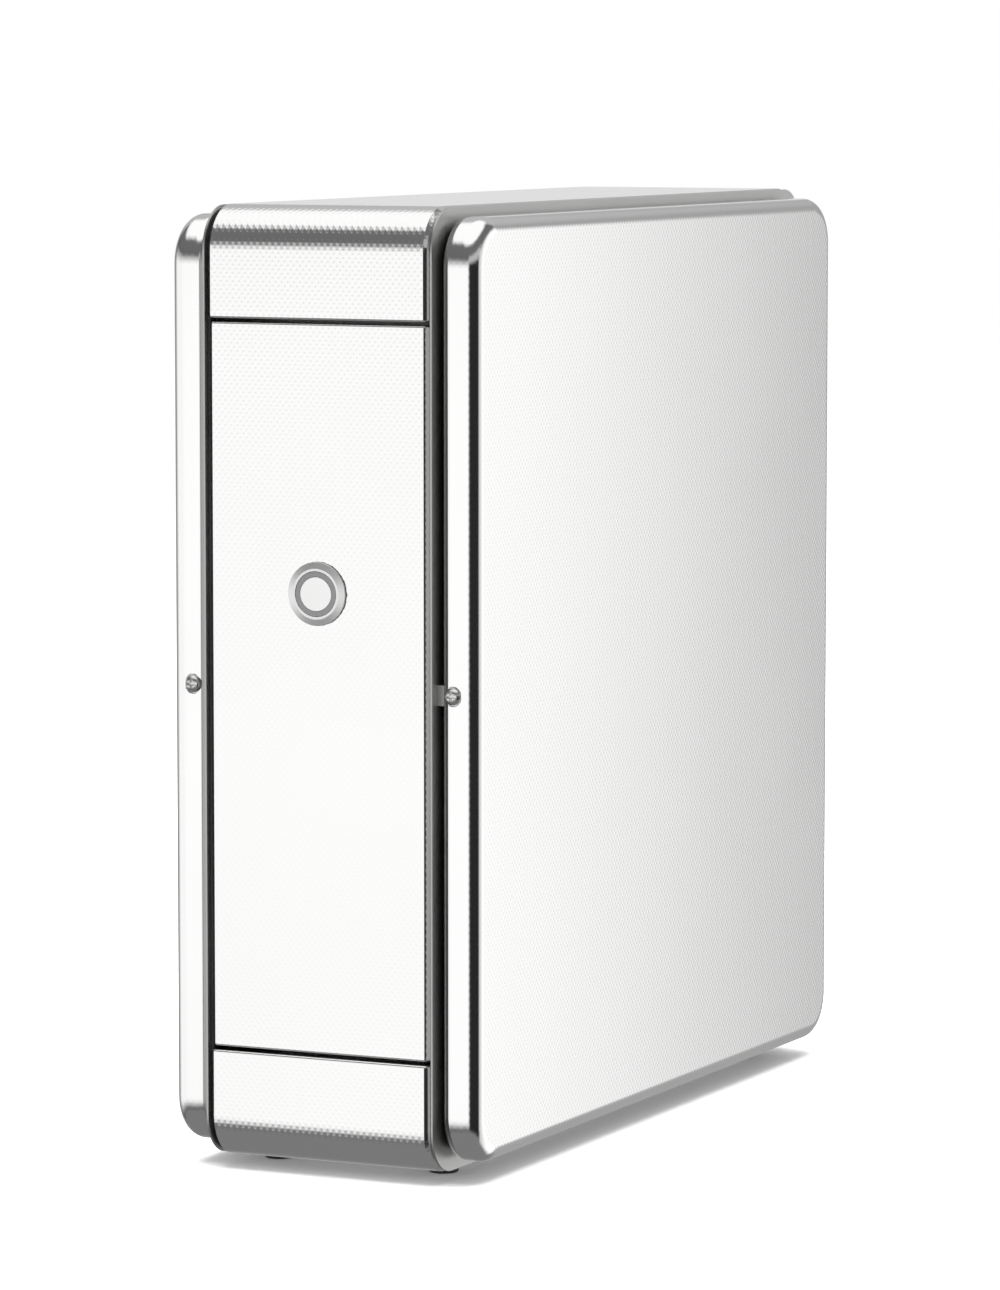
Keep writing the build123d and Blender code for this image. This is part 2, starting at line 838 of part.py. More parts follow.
def reflector_profile(grow):
    """Trapezium behind the lamp, its walls moved out by grow."""
    slope = (reflector_mouth - reflector_back) / 2 / (reflector_x - plate_outer)
    spread = grow * sqrt(1 + slope**2)
    mouth = reflector_mouth / 2 + spread
    back = reflector_back / 2 + spread - slope * grow
    with BuildLine() as outline:
        Polyline(
            (plate_outer, lamp_y - mouth),
            (reflector_x + grow, lamp_y - back),
            (reflector_x + grow, lamp_y + back),
            (plate_outer, lamp_y + mouth),
            close=True,
        )
    make_face(outline.edges())


with BuildPart() as reflectors:
    with BuildSketch(Plane.XY.offset(mid_z - reflector_height / 2)):
        reflector_profile(reflector_sheet)
        for end in (-1, 1):
            with Locations((plate_outer, lamp_y + end * reflector_mouth / 2)):
                Rectangle(
                    reflector_sheet,
                    reflector_foot,
                    align=(Align.MIN, Align.MIN if end > 0 else Align.MAX),
                )
    extrude(amount=reflector_height)
    with BuildSketch(Plane.XY.offset(mid_z - reflector_height / 2)):
        reflector_profile(0)
    extrude(amount=reflector_height, mode=Mode.SUBTRACT)
    mirror(about=Plane.YZ)
reflectors.part.label = "reflectors"
export_step(reflectors.part, "parts/reflectors.step")

# ---------------------------------------------------------------- bulkhead
latch_z = mid_z
switch_z = mid_z - switch_drop
dock_z = rack_low + dock_rise
bulkhead_half = half_width - bend
with BuildPart() as bulkhead:
    with Locations((0, bulkhead_front, mid_z)):
        Box(
            2 * bulkhead_half,
            bulkhead_sheet,
            body_height - 2 * sheet,
            align=(Align.CENTER, Align.MIN, Align.CENTER),
        )
    with Locations((0, bulkhead_front, mid_z)):
        Box(
            2 * plate_inner,
            bulkhead_fold,
            body_height - 2 * bulkhead_fold_inset,
            align=(Align.CENTER, Align.MIN, Align.CENTER),
        )
    with Locations((0, bulkhead_back, mid_z)):
        Box(
            2 * (plate_inner - bulkhead_sheet),
            bulkhead_fold,
            body_height,
            align=(Align.CENTER, Align.MIN, Align.CENTER),
            mode=Mode.SUBTRACT,
        )
    with toward(to_rear, (0, bulkhead_front, latch_z)):
        Cylinder(latch_hole_radius, 4 * bulkhead_sheet, mode=Mode.SUBTRACT)
    with toward(to_rear, (0, bulkhead_front, switch_z)):
        Cylinder(switch_hole_radius, 4 * bulkhead_sheet, mode=Mode.SUBTRACT)
    with Locations((dock_side, bulkhead_front, dock_z)):
        Box(dock_width, 4 * bulkhead_sheet, dock_height, mode=Mode.SUBTRACT)
bulkhead.part.label = "bulkhead"
export_step(bulkhead.part, "parts/bulkhead.step")

# ---------------------------------------------------------------- touch latch
plunger_tip = rack_end + strike_thickness + plunger_rest_gap
latch_back = bulkhead_back + latch_length
plunger_end = latch_back - latch_wall - plunger_travel - 2 * latch_wall
bore_radius = plunger_radius + plunger_gap

with BuildPart() as latch_body:
    with Locations((0, bulkhead_back, latch_z)):
        Box(
            latch_flange_width,
            latch_flange_thickness,
            latch_flange_height,
            align=(Align.CENTER, Align.MIN, Align.CENTER),
        )
    with toward(to_rear, (0, bulkhead_back, latch_z)):
        Cylinder(latch_radius, latch_length, align=(Align.CENTER, Align.CENTER, Align.MIN))
        Cylinder(
            bore_radius,
            latch_length - latch_wall,
            align=(Align.CENTER, Align.CENTER, Align.MIN),
            mode=Mode.SUBTRACT,
        )
        Cylinder(
            latch_hole_radius,
            plunger_travel + latch_wall,
            align=(Align.CENTER, Align.CENTER, Align.MIN),
            mode=Mode.SUBTRACT,
        )
latch_body.part.label = "latch_body"
export_step(latch_body.part, "parts/latch_body.step")

with BuildPart() as latch_plunger:
    with toward(to_rear, (0, plunger_tip, latch_z)):
        Cylinder(
            plunger_tip_radius, plunger_tip_thickness, align=(Align.CENTER, Align.CENTER, Align.MIN)
        )
        Cylinder(
            plunger_radius, plunger_end - plunger_tip, align=(Align.CENTER, Align.CENTER, Align.MIN)
        )
latch_plunger.part.label = "latch_plunger"
export_step(latch_plunger.part, "parts/latch_plunger.step")

latch_spring_length = latch_back - latch_wall - plunger_end
with BuildPart() as latch_spring:
    with toward(to_rear, (0, plunger_end, latch_z)):
        add(coil_spring(plunger_radius - 3 * latch_spring_wire, latch_spring_wire, latch_spring_length, 4))
latch_spring.part.label = "latch_spring"
export_step(latch_spring.part, "parts/latch_spring.step")

with BuildPart() as strike_plate:
    with Locations((0, rack_end, latch_z)):
        Box(
            strike_width,
            strike_thickness,
            strike_height,
            align=(Align.CENTER, Align.MIN, Align.CENTER),
        )
    fillet(strike_plate.edges().filter_by(Axis.Y), bend)
strike_plate.part.label = "strike_plate"
export_step(strike_plate.part, "parts/strike_plate.step")

# ---------------------------------------------------------------- interlock switch
switch_tip = rack_end + plunger_rest_gap
with BuildPart() as interlock_switch:
    with Locations((0, bulkhead_back, switch_z)):
        Box(
            switch_width, switch_depth, switch_height, align=(Align.CENTER, Align.MIN, Align.CENTER)
        )
    with toward(to_rear, (0, bulkhead_back, switch_z)):
        Cylinder(
            switch_plunger_radius + plunger_gap,
            switch_tip + switch_plunger_length + switch_travel + latch_wall - bulkhead_back,
            align=(Align.CENTER, Align.CENTER, Align.MIN),
            mode=Mode.SUBTRACT,
        )
    with Locations(*[(0, bulkhead_back + switch_depth, switch_z + k * blade_pitch) for k in (-1, 0, 1)]):
        Box(blade_width, 2 * blade_length, blade_thickness)
interlock_switch.part.label = "interlock_switch"
export_step(interlock_switch.part, "parts/interlock_switch.step")

with BuildPart() as interlock_plunger:
    with toward(to_rear, (0, switch_tip, switch_z)):
        Cylinder(
            switch_plunger_radius, switch_plunger_length, align=(Align.CENTER, Align.CENTER, Align.MIN)
        )
    fillet(interlock_plunger.edges().group_by(Axis.Y)[0], switch_plunger_radius / 2)
interlock_plunger.part.label = "interlock_plunger"
export_step(interlock_plunger.part, "parts/interlock_plunger.step")

# ---------------------------------------------------------------- docking contacts
contact_steps = [k - (dock_contacts - 1) / 2 for k in range(dock_contacts)]
contact_xs = [dock_side + step * dock_contact_pitch for step in contact_steps]
with BuildPart() as dock_socket:
    with Locations((dock_side, bulkhead_front - dock_socket_proud, dock_z)):
        Box(dock_width, dock_socket_depth, dock_height, align=(Align.CENTER, Align.MIN, Align.CENTER))
    with Locations((dock_side, bulkhead_back, dock_z)):
        Box(
            dock_width + 4 * bulkhead_sheet,
            2 * bulkhead_sheet,
            dock_height + 4 * bulkhead_sheet,
            align=(Align.CENTER, Align.MIN, Align.CENTER),
        )
dock_socket.part.label = "dock_socket"
export_step(dock_socket.part, "parts/dock_socket.step")

with BuildPart() as dock_plug:
    with Locations((dock_side, rack_end, dock_z)):
        Box(dock_width, dock_plug_depth, dock_height, align=(Align.CENTER, Align.MIN, Align.CENTER))
    with toward(to_rear, *[(x, rack_end + dock_plug_depth, dock_z) for x in contact_xs]):
        Cylinder(dock_contact_radius, dock_plug_depth / 3, mode=Mode.SUBTRACT)
dock_plug.part.label = "dock_plug"
export_step(dock_plug.part, "parts/dock_plug.step")

# ---------------------------------------------------------------- rear bay electrics
with BuildPart() as ballast:
    with Locations((-plate_inner, bay_front + ballast_setback, base + ballast_rise)):
        Box(
            ballast_height, ballast_width, ballast_length, align=(Align.MIN, Align.MIN, Align.MIN)
        )
    fillet(ballast.edges().filter_by(Axis.Z), ballast_round)
    ballast_mid = (-plate_inner + ballast_height / 2, bay_front + ballast_setback + ballast_width / 2)
    for end_z in (base + ballast_rise, base + ballast_rise + ballast_length):
        with Locations((*ballast_mid, end_z)):
            Box(ballast_height / 2, ballast_width / 2, ballast_round, mode=Mode.SUBTRACT)
ballast.part.label = "ballast"
export_step(ballast.part, "parts/ballast.step")

board_face = plate_inner - standoff_length
board_y = bay_front
board_z = base + board_rise
standoff_places = [
    (plate_inner, board_y + along, board_z + up)
    for along in (standoff_margin, board_width - standoff_margin)
    for up in (standoff_margin, board_height - standoff_margin)
]
with BuildPart() as board_standoffs:
    with toward(to_left, *standoff_places):
        Cylinder(standoff_radius, standoff_length, align=(Align.CENTER, Align.CENTER, Align.MIN))
board_standoffs.part.label = "board_standoffs"
export_step(board_standoffs.part, "parts/board_standoffs.step")

with BuildPart() as control_board:
    with Locations((board_face, board_y, board_z)):
        Box(
            board_thickness, board_width, board_height, align=(Align.MAX, Align.MIN, Align.MIN)
        )
control_board.part.label = "control_board"
export_step(control_board.part, "parts/control_board.step")

board_top = board_face - board_thickness
board_mid_y = board_y + board_width / 2
with BuildPart() as board_parts:
    hang = (Align.MAX, Align.CENTER, Align.CENTER)
    with Locations((board_top, board_mid_y, board_z + relay_rise)):
        Box(relay_reach, relay_width, relay_height, align=hang)
    with Locations((board_top, board_mid_y, board_z + transformer_rise)):
        Box(transformer_reach, transformer_width, transformer_height, align=hang)
    capacitor_ys = (board_mid_y - capacitor_spacing / 2, board_mid_y + capacitor_spacing / 2)
    with toward(to_left, *[(board_top, y, board_z + capacitor_rise) for y in capacitor_ys]):
        Cylinder(
            capacitor_radius, capacitor_length, align=(Align.CENTER, Align.CENTER, Align.MIN)
        )
board_parts.part.label = "board_parts"
export_step(board_parts.part, "parts/board_parts.step")

terminal_z = base + terminal_rise
with BuildPart() as terminal_block:
    with Locations((plate_inner, board_y, terminal_z)):
        Box(terminal_reach, terminal_length, terminal_height, align=(Align.MAX, Align.MIN, Align.CENTER))
    screw_pitch = terminal_length / terminal_screws
    screw_ys = [board_y + screw_pitch / 2 + k * screw_pitch for k in range(terminal_screws)]
    with toward(to_right, *[(plate_inner - terminal_reach, y, terminal_z) for y in screw_ys]):
        Cylinder(terminal_screw_radius, 2 * terminal_screw_depth, mode=Mode.SUBTRACT)
terminal_block.part.label = "terminal_block"
export_step(terminal_block.part, "parts/terminal_block.step")

# ---------------------------------------------------------------- mains inlet
with BuildPart() as inlet:
    with BuildSketch(Plane(origin=(0, rear, inlet_z), x_dir=(1, 0, 0), z_dir=(0, 1, 0))):
        RectangleRounded(inlet_flange_width, inlet_flange_height, panel_corner)
    extrude(amount=inlet_flange)
    with Locations((0, rear, inlet_z)):
        Box(
            inlet_body_width,
            inlet_body_depth,
            inlet_body_height,
            align=(Align.CENTER, Align.MAX, Align.CENTER),
        )
    mouth_plane = Plane(origin=(0, rear + inlet_flange, inlet_z), x_dir=(1, 0, 0), z_dir=(0, -1, 0))
    with BuildSketch(mouth_plane) as mouth:
        Rectangle(inlet_mouth_width, inlet_mouth_height)
        chamfer(mouth.vertices().group_by(Axis.Y)[0], inlet_mouth_chamfer)
    extrude(amount=inlet_mouth_depth, mode=Mode.SUBTRACT)
    with toward(to_rear, *[(side * inlet_rivet_spacing / 2, rear, inlet_z) for side in (-1, 1)]):
        Cylinder(rivet_radius, 4 * inlet_flange, mode=Mode.SUBTRACT)
        with Locations((0, 0, inlet_flange - rivet_head_height)):
            Cylinder(
                rivet_head_radius,
                rivet_head_height,
                align=(Align.CENTER, Align.CENTER, Align.MIN),
                mode=Mode.SUBTRACT,
            )
    inlet_floor = rear + inlet_flange - inlet_mouth_depth
    pin_rows = [(-inlet_pin_spacing, 1), (inlet_pin_spacing, 1), (0, -1)]
    pin_spots = [(x, inlet_floor, inlet_z + way * inlet_pin_drop) for x, way in pin_rows]
    with Locations(*pin_spots):
        Box(inlet_pin_width, inlet_body_depth, inlet_pin_height, mode=Mode.SUBTRACT)
inlet.part.label = "inlet"
export_step(inlet.part, "parts/inlet.step")

inlet_back = rear - inlet_body_depth
with BuildPart() as inlet_pins:
    for x, y, z in pin_spots:
        with Locations((x, inlet_back - inlet_tail, z)):
            Box(
                inlet_pin_width,
                inlet_floor + inlet_pin_length - inlet_back + inlet_tail,
                inlet_pin_height,
                align=(Align.CENTER, Align.MIN, Align.CENTER),
            )
inlet_pins.part.label = "inlet_pins"
export_step(inlet_pins.part, "parts/inlet_pins.step")

with BuildPart() as inlet_rivets:
    rivet_seat = rear + inlet_flange - rivet_head_height
    with toward(to_rear, *[(side * inlet_rivet_spacing / 2, rivet_seat, inlet_z) for side in (-1, 1)]):
        add(blind_rivet(inlet_flange - rivet_head_height + sheet))
inlet_rivets.part.label = "inlet_rivets"
export_step(inlet_rivets.part, "parts/inlet_rivets.step")

# ---------------------------------------------------------------- drawer front
panel_plane = Plane(origin=(0, panel_front, mid_z), x_dir=(1, 0, 0), z_dir=(0, 1, 0))
hole_radius = bezel_thread_radius + bezel_hole_gap
with BuildPart() as front_panel:
    add(folded_tray(panel_plane, 2 * panel_half, panel_height, panel_fold, panel_corner, sheet))
    with toward(to_front, (0, panel_front, button_z)):
        Cylinder(hole_radius, 4 * sheet, mode=Mode.SUBTRACT)
front_panel.part.label = "front_panel"
export_step(front_panel.part, "parts/front_panel.step")

liner_front = panel_front + sheet + liner_setback
cable_x = rack_inner - wire_radius - cable_clear
cable_z = mid_z - rack_half_height + tray_floor_drop - rack_sheet - wire_radius - cable_clear
liner_plane = Plane(origin=(0, liner_back, mid_z), x_dir=(1, 0, 0), z_dir=(0, -1, 0))
with BuildPart() as drawer_liner:
    add(
        folded_tray(
            liner_plane,
            2 * liner_half,
            2 * liner_half_height,
            liner_back - liner_front,
            panel_corner,
            liner_sheet,
        )
    )
    with toward(to_rear, (cable_x, liner_back, cable_z)):
        Cylinder(wire_radius + cable_clear, 4 * liner_sheet, mode=Mode.SUBTRACT)
drawer_liner.part.label = "drawer_liner"
export_step(drawer_liner.part, "parts/drawer_liner.step")

gasket_half = liner_half - gasket_inset - bend
gasket_half_height = liner_half_height - gasket_inset
with BuildPart() as drawer_gasket:
    with BuildSketch(Plane(origin=(0, liner_back, mid_z), x_dir=(1, 0, 0), z_dir=(0, 1, 0))):
        RectangleRounded(2 * gasket_half, 2 * gasket_half_height, tray_corner + gasket_width)
        RectangleRounded(
            2 * (opening_half + gasket_inset),
            2 * (gasket_half_height - gasket_width),
            tray_corner,
            mode=Mode.SUBTRACT,
        )
    extrude(amount=gasket_thickness)
drawer_gasket.part.label = "drawer_gasket"
export_step(drawer_gasket.part, "parts/drawer_gasket.step")

# ---------------------------------------------------------------- rack
tray_pitch = (2 * rack_half_height - tray_floor_drop) / tray_count
tray_zs = [rack_low + tray_floor_drop + k * tray_pitch for k in range(tray_count)]
stop_y = frame_back + rack_travel + rack_stop_gap
window_length = rack_length - 2 * rack_window_margin

with BuildPart() as rack_side_right:
    with BuildSketch(Plane.YZ.offset(rack_inner)):
        with Locations((rack_mid_y, mid_z)):
            Rectangle(rack_length, 2 * rack_half_height)
        with Locations((stop_y, mid_z + rack_half_height)):
            Rectangle(
                rack_window_frame, 2 * rack_stop_height, align=(Align.MIN, Align.CENTER)
            )
        for tray_z in tray_zs:
            window_low = tray_z + tray_height
            window_high = tray_z + tray_pitch - rack_window_frame
            with Locations((rack_mid_y, (window_low + window_high) / 2)):
                RectangleRounded(
                    window_length, window_high - window_low, rack_window_radius, mode=Mode.SUBTRACT
                )
    extrude(amount=rack_sheet)
    for tray_z in tray_zs:
        with Locations((rack_inner, liner_back, tray_z)):
            Box(
                ledge_width,
                rack_length - rail_rear_setback,
                rack_sheet,
                align=(Align.MAX, Align.MIN, Align.MAX),
            )
rack_side_right.part.label = "rack_side_right"
export_step(rack_side_right.part, "parts/rack_side_right.step")

with BuildPart() as rack_side_left:
    mirror(rack_side_right.part, about=Plane.YZ)
rack_side_left.part.label = "rack_side_left"
export_step(rack_side_left.part, "parts/rack_side_left.step")

with BuildPart() as rack_back:
    with Locations((0, rack_end, mid_z)):
        Box(
            2 * (rack_inner - ledge_width - ledge_back_gap),
            rack_sheet,
            2 * rack_half_height,
            align=(Align.CENTER, Align.MAX, Align.CENTER),
        )
rack_back.part.label = "rack_back"
export_step(rack_back.part, "parts/rack_back.step")

tray_half = rack_inner - tray_gap
tray_front = liner_back + tray_end_gap
tray_back = rack_end - rack_sheet - tray_end_gap
tray_length = tray_back - tray_front
tray_mid_y = (tray_front + tray_back) / 2
tray_slot_rows = int((tray_length - 2 * tray_slot_margin) / tray_slot_pitch_y)
for number, tray_z in enumerate(tray_zs, start=1):
    with BuildPart() as tray:
        with BuildSketch(Plane.XY.offset(tray_z)):
            with Locations((0, tray_mid_y)):
                RectangleRounded(2 * tray_half, tray_length, tray_corner)
        extrude(amount=tray_height)
        fillet(tray.faces().sort_by(Axis.Z)[0].edges(), bend)
        with BuildSketch(Plane.XY.offset(tray_z + tray_sheet)):
            with Locations((0, tray_mid_y)):
                RectangleRounded(
                    2 * (tray_half - tray_sheet), tray_length - 2 * tray_sheet, tray_corner - tray_sheet
                )
        extrude(amount=tray_height, mode=Mode.SUBTRACT)
        with BuildSketch(Plane.XY.offset(tray_z)):
            with Locations((0, tray_mid_y)):
                with GridLocations(
                    tray_slot_pitch_x, tray_slot_pitch_y, tray_slot_columns, tray_slot_rows
                ):
                    SlotOverall(tray_slot_length, tray_slot_width)
        extrude(amount=tray_sheet, mode=Mode.SUBTRACT)
    tray.part.label = f"tray_{number}"
    export_step(tray.part, f"parts/tray_{number}.step")

# ---------------------------------------------------------------- push button
with BuildPart() as button_gasket:
    with BuildSketch(Plane(origin=(0, panel_front, button_z), x_dir=(1, 0, 0), z_dir=(0, -1, 0))):
        Circle(bezel_gasket_radius)
        Circle(hole_radius, mode=Mode.SUBTRACT)
    extrude(amount=bezel_gasket)
button_gasket.part.label = "button_gasket"
export_step(button_gasket.part, "parts/button_gasket.step")

bezel_back = panel_front + bezel_length
with BuildPart() as button_bezel:
    with toward(to_rear, (0, bezel_front + bezel_slope, button_z)):
        Cylinder(bezel_radius, bezel_flange - bezel_slope, align=(Align.CENTER, Align.CENTER, Align.MIN))
    with toward(to_rear, (0, bezel_front, button_z)):
        Cone(
            bezel_face_radius,
            bezel_radius,
            bezel_slope,
            align=(Align.CENTER, Align.CENTER, Align.MIN),
        )
        Cylinder(
            bezel_thread_radius, bezel_back - bezel_front, align=(Align.CENTER, Align.CENTER, Align.MIN)
        )
        Cylinder(
            bezel_bore_radius,
            bezel_seat_depth,
            align=(Align.CENTER, Align.CENTER, Align.MIN),
            mode=Mode.SUBTRACT,
        )
        Cylinder(
            bezel_stem_radius,
            bezel_back - bezel_front,
            align=(Align.CENTER, Align.CENTER, Align.MIN),
            mode=Mode.SUBTRACT,
        )
button_bezel.part.label = "button_bezel"
export_step(button_bezel.part, "parts/button_bezel.step")

with BuildPart() as button_nut:
    with toward(to_rear, (0, panel_front + sheet, button_z)):
        add(hex_nut(nut_flats, nut_height, bezel_thread_radius + thread_gap))
button_nut.part.label = "button_nut"
export_step(button_nut.part, "parts/button_nut.step")

lens_front = bezel_front + lens_recess
with BuildPart() as button_lens:
    with toward(to_rear, (0, lens_front, button_z)):
        Cylinder(
            bezel_bore_radius - lens_gap, lens_depth, align=(Align.CENTER, Align.CENTER, Align.MIN)
        )
        Cylinder(
            cap_radius, lens_depth, align=(Align.CENTER, Align.CENTER, Align.MIN), mode=Mode.SUBTRACT
        )
button_lens.part.label = "button_lens"
export_step(button_lens.part, "parts/button_lens.step")

with BuildPart() as button_cap:
    with toward(to_rear, (0, lens_front, button_z)):
        Cylinder(cap_radius, lens_depth, align=(Align.CENTER, Align.CENTER, Align.MIN))
        Cylinder(
            cap_stem_radius, lens_depth + cap_stem_length, align=(Align.CENTER, Align.CENTER, Align.MIN)
        )
    fillet(
        button_cap.edges().filter_by(GeomType.CIRCLE).group_by(Axis.Y)[0],
        cap_dome,
    )
button_cap.part.label = "button_cap"
export_step(button_cap.part, "parts/button_cap.step")

seat_y = bezel_front + bezel_seat_depth
cap_back = lens_front + lens_depth
with BuildPart() as button_spring:
    with toward(to_rear, (0, cap_back, button_z)):
        add(
            coil_spring(
                (cap_stem_radius + cap_radius) / 2, button_spring_wire, seat_y - cap_back, 3
            )
        )
button_spring.part.label = "button_spring"
export_step(button_spring.part, "parts/button_spring.step")

with BuildPart() as button_switch:
    with toward(to_rear, (0, bezel_back, button_z)):
        Cylinder(
            switch_body_radius, switch_body_length, align=(Align.CENTER, Align.CENTER, Align.MIN)
        )
button_switch.part.label = "button_switch"
export_step(button_switch.part, "parts/button_switch.step")

switch_back = bezel_back + switch_body_length
with BuildPart() as button_terminals:
    for across in (-1, 1):
        for up in (-1, 1):
            with Locations((across * blade_pitch / 2, switch_back, button_z + up * blade_pitch / 2)):
                Box(
                    blade_width,
                    blade_length,
                    blade_thickness,
                    align=(Align.CENTER, Align.MIN, Align.CENTER),
                )
button_terminals.part.label = "button_terminals"
export_step(button_terminals.part, "parts/button_terminals.step")

# ---------------------------------------------------------------- wiring
cable_y = bezel_back + switch_body_length / 2
cable_end_y = rack_end + wire_radius + cable_clear
button_cable_route = [
    (0, cable_y, button_z - switch_body_radius),
    (0, cable_y, cable_z + cable_drop),
    (cable_x, cable_y, cable_z),
    (cable_x, cable_end_y, cable_z),
    (cable_x, cable_end_y, dock_z - dock_height / 2),
]
with BuildPart() as button_cable:
    add(wire_run(button_cable_route, wire_radius, cable_bend))
button_cable.part.label = "button_cable"
export_step(button_cable.part, "parts/button_cable.step")

wire_x = plate_outer + wire_standoff
wire_start_y = lamp_y + holder_width / 2
lamp_ends = [
    (1, holder_zs[0], plate_inner - wire_depth, terminal_z - terminal_height / 2),
    (1, holder_zs[1], board_face - board_thickness / 2, board_z + board_height),
    (-1, holder_zs[0], plate_inner - wire_depth, base + ballast_rise),
    (-1, holder_zs[1], plate_inner - wire_depth, base + ballast_rise + ballast_length),
]
with BuildPart() as lamp_wiring:
    for side, holder_z, end_x, end_z in lamp_ends:
        lamp_route = [
            (side * wire_x, wire_start_y, holder_z),
            (side * wire_x, wire_hole_y, holder_z),
            (side * end_x, wire_hole_y, holder_z),
            (side * end_x, wire_hole_y, end_z),
        ]
        add(wire_run(lamp_route, wire_radius, wire_bend))
lamp_wiring.part.label = "lamp_wiring"
export_step(lamp_wiring.part, "parts/lamp_wiring.step")

with BuildPart() as mains_wiring:
    for (x, _, z), turn_y in zip(pin_spots, (screw_ys[1], screw_ys[3], screw_ys[2])):
        mains_route = [
            (x, inlet_back - inlet_tail, z),
            (x, turn_y, z),
            (plate_inner - wire_depth, turn_y, z),
            (plate_inner - wire_depth, turn_y, terminal_z - terminal_height / 2),
        ]
        add(wire_run(mains_route, wire_radius, wire_bend))
mains_wiring.part.label = "mains_wiring"
export_step(mains_wiring.part, "parts/mains_wiring.step")
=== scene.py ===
"""Looks of a slim UV tool steriliser, built round its packed construction.

Metres, +Z up, the front faces -Y. Every piece's object sits at the origin with its
place in its mesh, and rides on a body of the frame.
"""

import json
import logging
import math
from dataclasses import dataclass
from enum import Enum
from typing import Callable, Iterable, Sequence

import bmesh
import bpy
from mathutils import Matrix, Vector

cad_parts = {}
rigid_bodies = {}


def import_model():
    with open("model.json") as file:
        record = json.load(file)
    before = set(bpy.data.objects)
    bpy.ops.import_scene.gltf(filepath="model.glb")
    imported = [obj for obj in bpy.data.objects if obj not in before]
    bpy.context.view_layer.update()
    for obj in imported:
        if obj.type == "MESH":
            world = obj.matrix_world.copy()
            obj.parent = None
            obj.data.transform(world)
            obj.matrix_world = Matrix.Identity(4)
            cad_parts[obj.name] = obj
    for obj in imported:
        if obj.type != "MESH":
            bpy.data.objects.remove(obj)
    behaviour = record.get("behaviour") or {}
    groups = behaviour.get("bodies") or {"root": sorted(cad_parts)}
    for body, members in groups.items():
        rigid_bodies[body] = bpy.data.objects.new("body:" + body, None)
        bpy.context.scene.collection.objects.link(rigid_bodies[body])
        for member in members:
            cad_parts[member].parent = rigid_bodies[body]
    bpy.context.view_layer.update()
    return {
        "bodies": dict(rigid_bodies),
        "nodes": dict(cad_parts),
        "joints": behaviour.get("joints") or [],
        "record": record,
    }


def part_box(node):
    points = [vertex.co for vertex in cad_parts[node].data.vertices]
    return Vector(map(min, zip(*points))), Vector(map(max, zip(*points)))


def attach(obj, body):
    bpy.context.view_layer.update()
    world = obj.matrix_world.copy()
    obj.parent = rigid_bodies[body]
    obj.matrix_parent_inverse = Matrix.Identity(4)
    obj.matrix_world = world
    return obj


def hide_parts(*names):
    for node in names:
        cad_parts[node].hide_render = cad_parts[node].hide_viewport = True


log = logging.getLogger("steriliser")

MM = 0.001
Point = tuple[float, float, float]


# ------------------------------------------------------------------ mesh bench
class Axis(Enum):
    """A main direction of the cabinet, with its unit vector."""

    RIGHT = (1.0, 0.0, 0.0)
    BACK = (0.0, 1.0, 0.0)
    UP = (0.0, 0.0, 1.0)

    @property
    def vector(self) -> Vector:
        """The direction as a vector."""
        return Vector(self.value)

    @property
    def index(self) -> int:
        """Which coordinate the direction runs along."""
        return [abs(part) for part in self.value].index(1.0)


